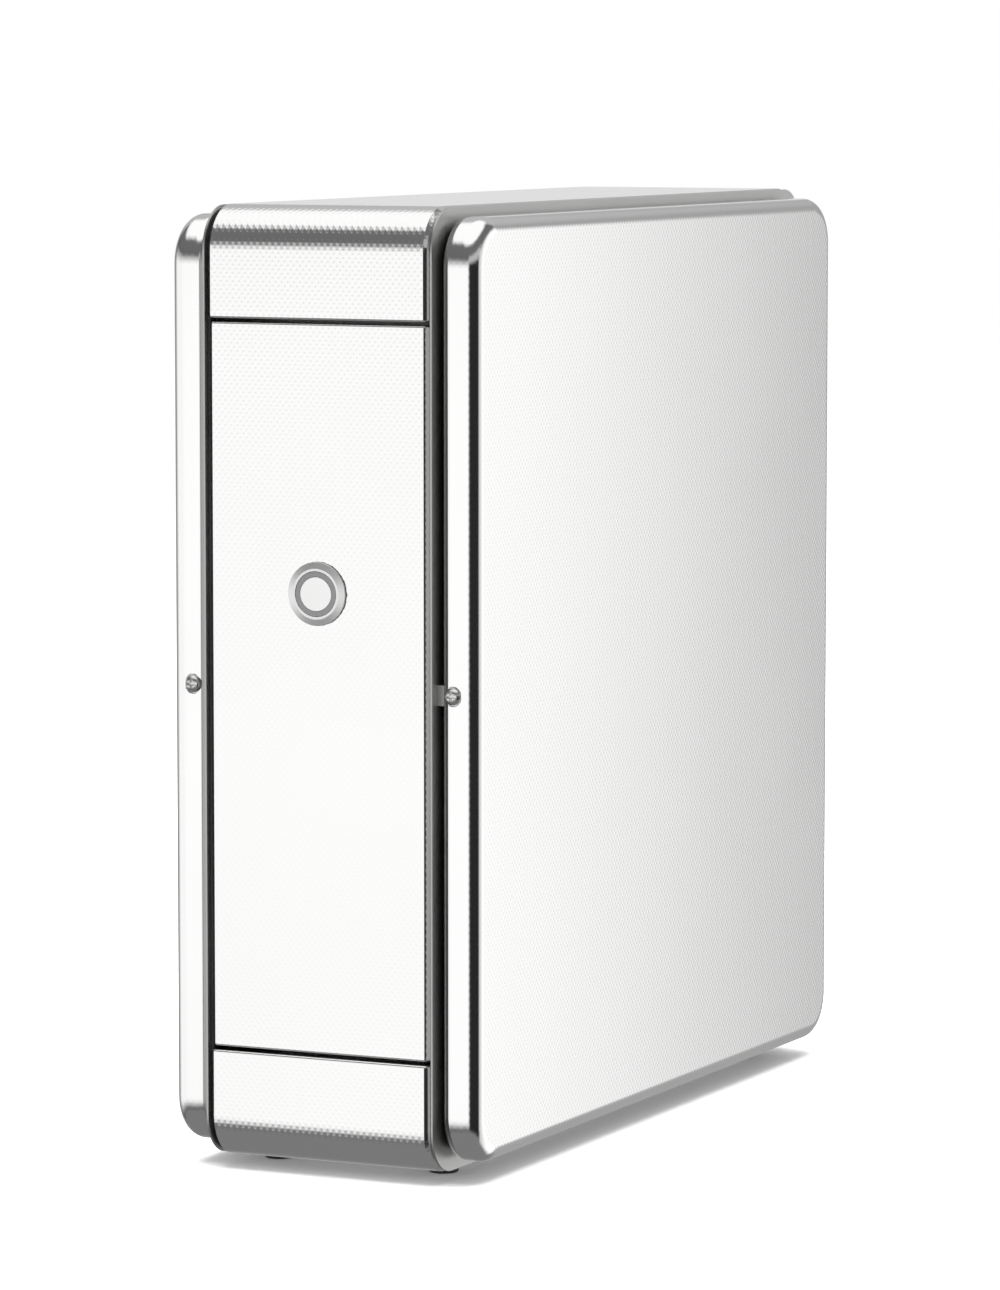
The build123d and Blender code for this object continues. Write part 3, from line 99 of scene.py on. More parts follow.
class Bench:
    """The modelling operations that the pieces share, in the order of hand modelling."""

    @staticmethod
    def clear_selection() -> None:
        """Leave edit mode and deselect every object."""
        if bpy.context.object is not None and bpy.context.object.mode != "OBJECT":
            bpy.ops.object.mode_set(mode="OBJECT")
        bpy.ops.object.select_all(action="DESELECT")

    @classmethod
    def adopt(cls, name: str) -> bpy.types.Object:
        """Name the primitive just added and put its place into its mesh.

        Args:
            name: The piece's name.

        Returns:
            The new object, alone in the selection.
        """
        piece = bpy.context.object
        piece.name = name
        piece.data.name = name
        bpy.ops.object.transform_apply(location=True, rotation=True, scale=True)
        return piece

    @classmethod
    def block(cls, name: str, low: Vector, high: Vector) -> bpy.types.Object:
        """Add a cube primitive between two corners.

        Args:
            name: The piece's name.
            low: Lowest corner.
            high: Highest corner.

        Returns:
            The new object.
        """
        cls.clear_selection()
        bpy.ops.mesh.primitive_cube_add(size=1.0, location=(low + high) / 2, scale=high - low)
        return cls.adopt(name)

    @classmethod
    def drum(
        cls, name: str, start: Vector, axis: Axis, radius: float, length: float, sides: int = 64
    ) -> bpy.types.Object:
        """Add a cylinder primitive from a point along an axis.

        Args:
            name: The piece's name.
            start: Centre of the first end.
            axis: Direction that the cylinder runs along.
            radius: Its radius.
            length: Its length, negative to run the other way.
            sides: Number of side faces.

        Returns:
            The new object.
        """
        cls.clear_selection()
        turn = {Axis.UP: (0, 0, 0), Axis.BACK: (math.pi / 2, 0, 0), Axis.RIGHT: (0, math.pi / 2, 0)}[axis]
        bpy.ops.mesh.primitive_cylinder_add(
            vertices=sides,
            radius=radius,
            depth=abs(length),
            location=start + axis.vector * (length / 2),
            rotation=turn,
        )
        return cls.adopt(name)

    @staticmethod
    def pick_faces(piece: bpy.types.Object, wanted: Callable[[bmesh.types.BMFace], bool]) -> int:
        """Select, in edit mode, the faces that a test wants.

        Args:
            piece: The object in edit mode.
            wanted: Says of a face whether it is selected.

        Returns:
            How many faces were selected.
        """
        bpy.ops.mesh.select_mode(type="FACE")
        bpy.ops.mesh.select_all(action="DESELECT")
        mesh = bmesh.from_edit_mesh(piece.data)
        count = 0
        for face in mesh.faces:
            if wanted(face):
                face.select_set(True)
                count += 1
        bmesh.update_edit_mesh(piece.data)
        return count

    @staticmethod
    def pick_edges(piece: bpy.types.Object, wanted: Callable[[bmesh.types.BMEdge], bool]) -> int:
        """Select, in edit mode, the edges that a test wants.

        Args:
            piece: The object in edit mode.
            wanted: Says of an edge whether it is selected.

        Returns:
            How many edges were selected.
        """
        bpy.ops.mesh.select_mode(type="EDGE")
        bpy.ops.mesh.select_all(action="DESELECT")
        mesh = bmesh.from_edit_mesh(piece.data)
        count = 0
        for edge in mesh.edges:
            if wanted(edge):
                edge.select_set(True)
                count += 1
        bmesh.update_edit_mesh(piece.data)
        return count

    @classmethod
    def delete_faces(cls, piece: bpy.types.Object, wanted: Callable[[bmesh.types.BMFace], bool]) -> None:
        """Delete, in edit mode, the faces that a test wants.

        Args:
            piece: The object in edit mode.
            wanted: Says of a face whether it goes.
        """
        if cls.pick_faces(piece, wanted):
            bpy.ops.mesh.delete(type="FACE")

    @classmethod
    def round_edges(
        cls,
        piece: bpy.types.Object,
        wanted: Callable[[bmesh.types.BMEdge], bool],
        radius: float,
        steps: int,
    ) -> None:
        """Bevel, in edit mode, the edges that a test wants.

        Args:
            piece: The object in edit mode.
            wanted: Says of an edge whether it is rounded.
            radius: Radius of the arc.
            steps: Number of faces round the arc; 1 makes a flat slant.
        """
        if cls.pick_edges(piece, wanted):
            bpy.ops.mesh.bevel(offset=radius, offset_type="OFFSET", segments=steps)

    @staticmethod
    def slice_at(
        piece: bpy.types.Object, axis: Axis, place: float, keep_below: bool | None = None, fill: bool = False
    ) -> None:
        """Cut the mesh, in edit mode, with a plane across an axis.

        Args:
            piece: The object in edit mode.
            axis: Normal of the cutting plane.
            place: Where the plane lies along the axis.
            keep_below: Which side stays; None keeps both.
            fill: Whether the cut is closed with a face.
        """
        bpy.ops.mesh.select_all(action="SELECT")
        bpy.ops.mesh.bisect(
            plane_co=axis.vector * place,
            plane_no=axis.vector,
            use_fill=fill,
            clear_inner=keep_below is False,
            clear_outer=keep_below is True,
        )

    @staticmethod
    def modifier(piece: bpy.types.Object, kind: str, **settings: object) -> None:
        """Add a modifier and apply it.

        Args:
            piece: The object it acts on.
            kind: Blender's name of the modifier.
            **settings: Its settings.
        """
        Bench.clear_selection()
        piece.select_set(True)
        bpy.context.view_layer.objects.active = piece
        made = piece.modifiers.new(kind.lower(), kind)
        for key, value in settings.items():
            setattr(made, key, value)
        bpy.ops.object.modifier_apply(modifier=made.name)

    @classmethod
    def carve(cls, piece: bpy.types.Object, cutter: bpy.types.Object) -> None:
        """Cut a shape out of a piece and remove the cutter.

        Args:
            piece: The object that is cut.
            cutter: The object whose volume goes.
        """
        cls.modifier(piece, "BOOLEAN", object=cutter, operation="DIFFERENCE", solver="EXACT")
        bpy.data.objects.remove(cutter, do_unlink=True)

    @staticmethod
    def join(name: str, pieces: Sequence[bpy.types.Object]) -> bpy.types.Object:
        """Join several objects into one piece.

        Args:
            name: The joined piece's name.
            pieces: The objects.

        Returns:
            The joined object.
        """
        Bench.clear_selection()
        for piece in pieces:
            piece.select_set(True)
        bpy.context.view_layer.objects.active = pieces[0]
        if len(pieces) > 1:
            bpy.ops.object.join()
        joined = bpy.context.object
        joined.name = name
        joined.data.name = name
        return joined

    @staticmethod
    def copy_moved(piece: bpy.types.Object, name: str, offset: Vector) -> bpy.types.Object:
        """Copy a piece with its own mesh, moved by an offset.

        Args:
            piece: The object to copy.
            name: The copy's name.
            offset: How far the copy's mesh lies from the original's.

        Returns:
            The copy.
        """
        twin = piece.copy()
        twin.data = piece.data.copy()
        twin.name = name
        bpy.context.scene.collection.objects.link(twin)
        for vertex in twin.data.vertices:
            vertex.co += offset
        return twin

    @staticmethod
    def mirrored(piece: bpy.types.Object, name: str, axis: Axis, place: float = 0.0) -> bpy.types.Object:
        """Copy a piece as its mirror image, with its faces still pointing outwards.

        Args:
            piece: The object to copy.
            name: The copy's name.
            axis: Normal of the mirror plane.
            place: Where the plane lies along the axis.

        Returns:
            The mirrored copy.
        """
        twin = Bench.copy_moved(piece, name, Vector())
        for vertex in twin.data.vertices:
            vertex.co[axis.index] = 2 * place - vertex.co[axis.index]
        twin.data.flip_normals()
        return twin

    @staticmethod
    def smooth(piece: bpy.types.Object, angle: float = 35.0) -> None:
        """Shade a piece smooth, but for edges sharper than an angle in degrees."""
        Bench.clear_selection()
        piece.select_set(True)
        bpy.context.view_layer.objects.active = piece
        bpy.ops.object.shade_smooth_by_angle(angle=math.radians(angle))
        made = piece.modifiers.new("even_normals", "WEIGHTED_NORMAL")
        made.keep_sharp = True
        made.weight = 90
        bpy.ops.object.modifier_apply(modifier=made.name)

    @staticmethod
    def editing(piece: bpy.types.Object) -> "EditMode":
        """A context in which the piece is in edit mode."""
        return EditMode(piece)


class EditMode:
    """Puts a piece in edit mode for the length of a with block."""

    def __init__(self, piece: bpy.types.Object) -> None:
        """Remember the piece."""
        self.piece = piece

    def __enter__(self) -> bpy.types.Object:
        """Select the piece alone and enter edit mode."""
        Bench.clear_selection()
        self.piece.select_set(True)
        bpy.context.view_layer.objects.active = self.piece
        bpy.ops.object.mode_set(mode="EDIT")
        return self.piece

    def __exit__(self, *_: object) -> None:
        """Go back to object mode."""
        bpy.ops.object.mode_set(mode="OBJECT")


def sharp(edge: bmesh.types.BMEdge, degrees: float = 60.0) -> bool:
    """Whether an edge bends by more than an angle."""
    return len(edge.link_faces) == 2 and edge.calc_face_angle(0.0) > math.radians(degrees)


def runs_along(edge: bmesh.types.BMEdge, axis: Axis) -> bool:
    """Whether an edge is parallel to an axis."""
    along = (edge.verts[1].co - edge.verts[0].co).normalized()
    return abs(along.dot(axis.vector)) > 0.999


def lies_at(edge: bmesh.types.BMEdge, axis: Axis, place: float) -> bool:
    """Whether both ends of an edge lie at a place along an axis."""
    return all(abs(vertex.co[axis.index] - place) < 0.02 * MM for vertex in edge.verts)


def lay_weave(piece: bpy.types.Object) -> None:
    """Give a piece a UV map in metres, laid flat on each face's main side.

    Args:
        piece: The finished mesh.
    """
    mesh = piece.data
    layer = mesh.uv_layers.get("weave") or mesh.uv_layers.new(name="weave")
    planes = ((1, 2), (0, 2), (0, 1))
    for polygon in mesh.polygons:
        normal = polygon.normal
        main = max(range(3), key=lambda k: abs(normal[k]))
        across, up = planes[main]
        for loop in polygon.loop_indices:
            spot = mesh.vertices[mesh.loops[loop].vertex_index].co
            layer.data[loop].uv = (spot[across], spot[up])


# ------------------------------------------------------------------ finishes
class NodeSheet:
    """A material's node tree, with short calls for the nodes that the finishes use."""

    def __init__(self, name: str) -> None:
        """Start a material with a Principled shader."""
        self.material = bpy.data.materials.new(name)
        self.material.use_nodes = True
        self.tree = self.material.node_tree
        self.shader = self.tree.nodes["Principled BSDF"]

    def add(self, kind: str, **inputs: object) -> bpy.types.Node:
        """Add a node and set its inputs.

        Args:
            kind: Blender's node type.
            **inputs: Socket names, with underscores for spaces, and their values or the
                sockets that feed them.

        Returns:
            The node.
        """
        node = self.tree.nodes.new(kind)
        for key, value in inputs.items():
            self.feed(node.inputs[key.replace("_", " ")], value)
        return node

    def feed(self, socket: bpy.types.NodeSocket, value: object) -> None:
        """Set a socket to a value, or link another socket to it."""
        if isinstance(value, bpy.types.NodeSocket):
            self.tree.links.new(value, socket)
        else:
            socket.default_value = value

    def math(self, operation: str, *values: object) -> bpy.types.NodeSocket:
        """Combine values with one Math node.

        Args:
            operation: Blender's name of the operation.
            *values: Numbers or sockets.

        Returns:
            The result's socket.
        """
        node = self.tree.nodes.new("ShaderNodeMath")
        node.operation = operation
        for socket, value in zip(node.inputs, values):
            self.feed(socket, value)
        return node.outputs[0]

    def object_place(self, stretch: Point = (1.0, 1.0, 1.0)) -> bpy.types.NodeSocket:
        """Object coordinates, stretched.

        Args:
            stretch: Factor along each axis.

        Returns:
            The coordinates' socket.
        """
        place = self.add("ShaderNodeTexCoord").outputs["Object"]
        return self.add("ShaderNodeMapping", Vector=place, Scale=stretch).outputs["Vector"]

    def noise(self, scale: float, detail: float, stretch: Point = (1.0, 1.0, 1.0)) -> bpy.types.NodeSocket:
        """Noise over object coordinates.

        Args:
            scale: Cells per metre.
            detail: Number of finer layers.
            stretch: Factor along each axis.

        Returns:
            The noise value's socket.
        """
        node = self.add("ShaderNodeTexNoise", Vector=self.object_place(stretch), Scale=scale, Detail=detail)
        return node.outputs["Fac"]

    def spread(self, value: bpy.types.NodeSocket, low: float, high: float) -> bpy.types.NodeSocket:
        """Map a value from 0..1 to a range.

        Args:
            value: The value's socket.
            low: Result at 0.
            high: Result at 1.

        Returns:
            The mapped value's socket.
        """
        node = self.tree.nodes.new("ShaderNodeMapRange")
        self.feed(node.inputs["Value"], value)
        node.inputs["To Min"].default_value = low
        node.inputs["To Max"].default_value = high
        return node.outputs["Result"]

    def tint(self, colour: Point, sway: float, amount: bpy.types.NodeSocket) -> bpy.types.NodeSocket:
        """A colour that sways lighter and darker with a value.

        Args:
            colour: The middle colour.
            sway: How far it goes each way, as a share.
            amount: The value's socket.

        Returns:
            The colour's socket.
        """
        ramp = self.tree.nodes.new("ShaderNodeValToRGB")
        ramp.color_ramp.elements[0].position = 0.3
        ramp.color_ramp.elements[0].color = (*[part * (1 - sway) for part in colour], 1.0)
        ramp.color_ramp.elements[1].position = 0.7
        ramp.color_ramp.elements[1].color = (*[min(1.0, part * (1 + sway)) for part in colour], 1.0)
        self.feed(ramp.inputs["Fac"], amount)
        return ramp.outputs["Color"]

    def bump(self, height: bpy.types.NodeSocket, depth: float, strength: float = 1.0) -> None:
        """Raise the shader's surface by a height map.

        Args:
            height: The height's socket, from 0 to 1.
            depth: Height in metres at 1.
            strength: Share of the effect.
        """
        node = self.add("ShaderNodeBump", Height=height, Distance=depth, Strength=strength)
        self.tree.links.new(node.outputs["Normal"], self.shader.inputs["Normal"])


@dataclass(frozen=True)
class Finish:
    """A plain finish: one colour with grain, mottling and uneven gloss."""

    name: str
    colour: Point
    metallic: float = 0.0
    roughness: float = 0.45
    uneven: float = 0.08
    sway: float = 0.04
    grain: float = 900.0
    stretch: Point = (1.0, 1.0, 1.0)
    depth: float = 0.00002
    specular: float = 0.5
    coat: float = 0.0

    def build(self) -> bpy.types.Material:
        """Make the material.

        Returns:
            The material.
        """
        sheet = NodeSheet(self.name)
        fine = sheet.noise(self.grain, 3.0, self.stretch)
        broad = sheet.noise(self.grain / 40, 2.0)
        sheet.feed(sheet.shader.inputs["Base Color"], sheet.tint(self.colour, self.sway, broad))
        gloss = sheet.spread(
            sheet.math("ADD", sheet.math("MULTIPLY", fine, 0.6), sheet.math("MULTIPLY", broad, 0.4)),
            self.roughness - self.uneven,
            self.roughness + self.uneven,
        )
        sheet.feed(sheet.shader.inputs["Roughness"], gloss)
        sheet.shader.inputs["Metallic"].default_value = self.metallic
        sheet.shader.inputs["Specular IOR Level"].default_value = self.specular
        sheet.shader.inputs["Coat Weight"].default_value = self.coat
        if self.depth:
            sheet.bump(fine, self.depth)
        return sheet.material


@dataclass(frozen=True)
class LinenSteel(Finish):
    """Stainless sheet rolled with a linen pattern: staggered fine dots."""

    dot_pitch: float = 3.0 * MM
    row_pitch: float = 1.8 * MM
    emboss: float = 0.00008
    emboss_strength: float = 0.6

    def build(self) -> bpy.types.Material:
        """Make the material.

        Returns:
            The material.
        """
        sheet = NodeSheet(self.name)
        weave = sheet.add("ShaderNodeUVMap")
        weave.uv_map = "weave"
        split = sheet.add("ShaderNodeSeparateXYZ", Vector=weave.outputs["UV"])
        turns = sheet.math("MULTIPLY", split.outputs["X"], 2 * math.pi / self.dot_pitch)
        across = sheet.math("COSINE", turns)
        up = sheet.math("COSINE", sheet.math("MULTIPLY", split.outputs["Y"], math.pi / self.row_pitch))
        dots = sheet.math("MULTIPLY", across, up)
        raised = sheet.math("SMOOTH_MAX", dots, 0.0, 0.3)
        grain = sheet.noise(self.grain, 3.0, self.stretch)
        cloud = sheet.noise(9.0, 2.0)
        height = sheet.math("ADD", raised, sheet.math("MULTIPLY", grain, 0.12))
        sheet.bump(height, self.emboss, self.emboss_strength)
        gloss = sheet.math("ADD", sheet.math("MULTIPLY", grain, 0.5), sheet.math("MULTIPLY", cloud, 0.5))
        sheet.feed(
            sheet.shader.inputs["Roughness"],
            sheet.spread(gloss, self.roughness - self.uneven, self.roughness + self.uneven),
        )
        sheet.feed(sheet.shader.inputs["Base Color"], sheet.tint(self.colour, self.sway, cloud))
        sheet.shader.inputs["Metallic"].default_value = 1.0
        return sheet.material


@dataclass(frozen=True)
class Glass(Finish):
    """Clear lamp glass."""

    def build(self) -> bpy.types.Material:
        """Make the material.

        Returns:
            The material.
        """
        sheet = NodeSheet(self.name)
        streak = sheet.noise(self.grain, 2.0, self.stretch)
        sheet.feed(
            sheet.shader.inputs["Roughness"],
            sheet.spread(streak, self.roughness - self.uneven, self.roughness + self.uneven),
        )
        sheet.shader.inputs["Base Color"].default_value = (*self.colour, 1.0)
        sheet.shader.inputs["Transmission Weight"].default_value = 1.0
        sheet.shader.inputs["IOR"].default_value = 1.46
        return sheet.material


FINISHES: dict[str, Finish] = {
    finish.name: finish
    for finish in (
        LinenSteel("band_steel", (0.86, 0.86, 0.855), roughness=0.16, uneven=0.03, sway=0.012, grain=1400.0),
        LinenSteel(
            "cover_steel",
            (0.86, 0.86, 0.855),
            roughness=0.12,
            uneven=0.02,
            sway=0.012,
            grain=1400.0,
            emboss_strength=0.1,
        ),
        # plate_steel's colour is set to 0.5, darker than the steel itself, so the plate faces seen in the
        # gaps beside the band read dark. This is partly the steel's own tone and partly painted shade for
        # those gaps.
        Finish(
            "plate_steel", (0.5, 0.5, 0.495), 1.0, 0.4, 0.06, 0.03, 700.0, (1, 1, 14), 0.00001
        ),
        Finish("rack_steel", (0.74, 0.74, 0.735), 1.0, 0.3, 0.06, 0.03, 600.0, (1, 12, 12), 0.00001),
        Finish("fastener_steel", (0.7, 0.7, 0.69), 1.0, 0.26, 0.08, 0.05, 2600.0, (1, 1, 1), 0.00001),
        Finish("rail_aluminium", (0.76, 0.76, 0.77), 1.0, 0.36, 0.05, 0.02, 500.0, (20, 1, 20), 0.00001),
        Finish("nylon", (0.86, 0.86, 0.82), 0.0, 0.5, 0.05, 0.02, 900.0),
        Glass("lamp_glass", (0.95, 0.97, 1.0), roughness=0.03, uneven=0.02, grain=200.0),
        Finish("lamp_metal", (0.8, 0.8, 0.8), 1.0, 0.3, 0.06, 0.03, 800.0, (1, 1, 20), 0.00001),
        Finish("pin_brass", (0.78, 0.66, 0.36), 1.0, 0.28, 0.06, 0.05, 1200.0),
        Finish("white_plastic", (0.82, 0.82, 0.79), 0.0, 0.42, 0.06, 0.02, 1100.0),
        Finish("reflector_metal", (0.9, 0.9, 0.9), 1.0, 0.12, 0.05, 0.02, 500.0, (1, 1, 25), 0.00001),
        Finish("black_plastic", (0.022, 0.022, 0.023), 0.0, 0.48, 0.08, 0.12, 1400.0, (1, 1, 1), 0.00003),
        Finish("spring_steel", (0.5, 0.5, 0.5), 1.0, 0.3, 0.08, 0.06, 2000.0),
        Finish("latch_metal", (0.62, 0.62, 0.6), 1.0, 0.3, 0.08, 0.05, 1500.0),
        Finish("ballast_paint", (0.78, 0.78, 0.75), 0.0, 0.4, 0.06, 0.02, 1000.0, (1, 1, 1), 0.00003),
        Finish("board_green", (0.02, 0.16, 0.06), 0.0, 0.35, 0.08, 0.1, 800.0, (1, 1, 1), 0.00002),
        Finish("foot_rubber", (0.018, 0.018, 0.018), 0.0, 0.7, 0.08, 0.15, 1500.0, (1, 1, 1), 0.00005),
        Finish("gasket_rubber", (0.03, 0.03, 0.03), 0.0, 0.75, 0.08, 0.15, 1800.0, (1, 1, 1), 0.00006),
        Finish("wire_jacket", (0.04, 0.04, 0.042), 0.0, 0.5, 0.06, 0.1, 1400.0),
        Finish("button_steel", (0.9, 0.9, 0.895), 1.0, 0.4, 0.05, 0.03, 1500.0, (1, 6, 1), 0.00001),
        Finish("button_cap_steel", (0.88, 0.88, 0.875), 1.0, 0.3, 0.05, 0.03, 1500.0, (8, 1, 1), 0.00001),
        Finish("button_lens", (0.13, 0.13, 0.134), 0.0, 0.34, 0.05, 0.04, 900.0, (1, 1, 1), 0.0, 0.5, 0.36),
    )
}


class Palette:
    """Builds each finish once and hands it out by the name of its material slot."""

    def __init__(self) -> None:
        """Start with no material made."""
        self.made: dict[str, bpy.types.Material] = {}

    def of(self, name: str) -> bpy.types.Material:
        """The material of a slot.

        Args:
            name: The slot's name.

        Returns:
            The material.
        """
        if name not in self.made:
            self.made[name] = FINISHES[name].build()
        return self.made[name]

    def dress(self, piece: bpy.types.Object, name: str) -> None:
        """Give a piece one finish all over.

        Args:
            piece: The object.
            name: The slot's name.
        """
        piece.data.materials.clear()
        piece.data.materials.append(self.of(name))


# ------------------------------------------------------------------ the cabinet
@dataclass
class SubAssembly:
    """Some pieces that belong together, with what every sub-assembly needs."""

    palette: Palette

    def finish_piece(self, piece: bpy.types.Object, body: str, slot: str, *nodes: str) -> None:
        """Dress a piece, set it on its body and let it stand for its construction nodes.

        Args:
            piece: The finished object.
            body: The body it rides on.
            slot: The material slot it takes its finish from.
            *nodes: The nodes it replaces.
        """
        self.palette.dress(piece, slot)
        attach(piece, body)
        if nodes:
            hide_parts(*nodes)
        log.info("%s: %d faces on %s", piece.name, len(piece.data.polygons), body)


@dataclass
class Band(SubAssembly):
    """The folded band round front, top, back and underside, and the front panel between its caps."""

    radius: float = 20.0 * MM
    sheet: float = 1.0 * MM
    bend: float = 1.1 * MM
    rim: float = 2.0 * MM
    flange: float = 12.0 * MM
    corner_steps: int = 28
    bend_steps: int = 6
    vent: Point = (64.0 * MM, 9.0 * MM, 3.6 * MM)
    vent_drop: float = 70.0 * MM
    vents: int = 9
    button_hole: float = 12.6 * MM
    inlet_mouth: Point = (28.6 * MM, 0.0, 21.1 * MM)

    def thicken(self, piece: bpy.types.Object) -> None:
        """Give the folded skin its sheet thickness and an even shine."""
        Bench.modifier(piece, "SOLIDIFY", thickness=self.sheet, offset=-1.0, use_even_offset=True)
        Bench.smooth(piece)
        lay_weave(piece)

    def press_rims(
        self, piece: bpy.types.Object, is_rim: Callable[[bmesh.types.BMEdge], bool]
    ) -> None:
        """Press the long rims to a narrow slant, then bend the other folds, in edit mode.

        Args:
            piece: The folded skin.
            is_rim: Says of a sharp edge whether it is a long rim beside a side plate.
        """
        Bench.round_edges(piece, lambda edge: sharp(edge) and is_rim(edge), self.rim, 1)
        Bench.round_edges(piece, sharp, self.bend, self.bend_steps)

    def cap(self, node: str, low: Vector, high: Vector, seam_above: bool) -> bpy.types.Object:
        """One end of the band, folded from sheet.

        Args:
            node: The node it stands for.
            low: Lowest corner of the whole body.
            high: Highest corner of the whole body.
            seam_above: Whether its seams lie at its upper edge.

        Returns:
            The piece.
        """
        node_low, node_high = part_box(node)
        seam = node_high.z if seam_above else node_low.z
        piece = Bench.block(node + "_shell", low, high)
        with Bench.editing(piece):
            Bench.round_edges(
                piece, lambda edge: runs_along(edge, Axis.RIGHT), self.radius, self.corner_steps
            )
            Bench.slice_at(piece, Axis.UP, seam, keep_below=seam_above, fill=True)
            Bench.pick_faces(piece, lambda face: abs(face.normal.x) > 0.9)
            bpy.ops.mesh.inset(thickness=self.flange, use_individual=True, use_even_offset=True)
            bpy.ops.mesh.delete(type="FACE")
            Bench.slice_at(piece, Axis.BACK, low.y + self.flange)
            Bench.slice_at(piece, Axis.BACK, high.y - self.flange)
            Bench.delete_faces(
                piece,
                lambda face: abs(face.calc_center_median().z - seam) < MM / 10
                and low.y + self.flange < face.calc_center_median().y < high.y - self.flange,
            )
            self.press_rims(piece, lambda edge: not lies_at(edge, Axis.UP, seam))
        self.thicken(piece)
        return piece

    def tray(self, name: str, node: str, opens_back: bool) -> bpy.types.Object:
        """A panel with four folded sides.

        Args:
            name: The piece's name.
            node: The node it stands for.
            opens_back: Whether its open side faces the rear.

        Returns:
            The piece.
        """
        low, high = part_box(node)
        open_side = high.y if opens_back else low.y
        piece = Bench.block(name, low, high)
        with Bench.editing(piece):
            Bench.delete_faces(piece, lambda face: abs(face.calc_center_median().y - open_side) < MM / 10)
            self.press_rims(piece, lambda edge: runs_along(edge, Axis.UP))
        Bench.modifier(piece, "SOLIDIFY", thickness=self.sheet, offset=-1.0, use_even_offset=True)
        return piece

    def front_panel(self) -> None:
        """The drawer's front, with the hole for the push button."""
        piece = self.tray("front_skin", "front_panel", opens_back=True)
        low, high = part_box("button_bezel")
        middle = (low + high) / 2
        middle.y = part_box("front_panel")[0].y - 2 * self.sheet
        hole = Bench.drum("button_hole", middle, Axis.BACK, self.button_hole, 6 * self.sheet)
        Bench.carve(piece, hole)
        Bench.smooth(piece)
        lay_weave(piece)
        self.finish_piece(piece, "drawer", "band_steel", "front_panel")

    def rear_panel(self) -> None:
        """The rear panel, with its row of vents and the mouth for the mains inlet."""
        piece = self.tray("rear_skin", "rear_panel", opens_back=False)
        low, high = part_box("rear_panel")
        length, pitch, height = self.vent
        through = Vector((0, 3 * self.sheet, 0))
        slots = []
        for k in range(self.vents):
            spot = Vector((0, high.y, high.z - self.vent_drop - k * pitch))
            half = Vector((length / 2, 0, height / 2))
            slot = Bench.block("vent_cutter", spot - half - through, spot + half + through)
            with Bench.editing(slot):
                Bench.round_edges(slot, lambda edge: runs_along(edge, Axis.BACK), 0.49 * height, 8)
            slots.append(slot)
        Bench.carve(piece, Bench.join("vent_cutter", slots))
        mouth_low, mouth_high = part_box("inlet")
        middle = (mouth_low + mouth_high) / 2
        half = Vector(self.inlet_mouth) / 2
        spot = Vector((middle.x, high.y, middle.z))
        Bench.carve(piece, Bench.block("inlet_cutter", spot - half - through, spot + half + through))
        Bench.smooth(piece)
        lay_weave(piece)
        self.finish_piece(piece, "housing", "band_steel", "rear_panel")

    def build(self) -> None:
        """Make the caps and both panels."""
        top_low, top_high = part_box("top_cap")
        bottom_low, bottom_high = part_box("bottom_cap")
        low = Vector((bottom_low.x, bottom_low.y, bottom_low.z))
        high = Vector((top_high.x, top_high.y, top_high.z))
        top = self.cap("top_cap", low, high, seam_above=False)
        self.finish_piece(top, "housing", "band_steel", "top_cap")
        bottom = self.cap("bottom_cap", low, high, seam_above=True)
        self.finish_piece(bottom, "housing", "band_steel", "bottom_cap")
        self.front_panel()
        self.rear_panel()


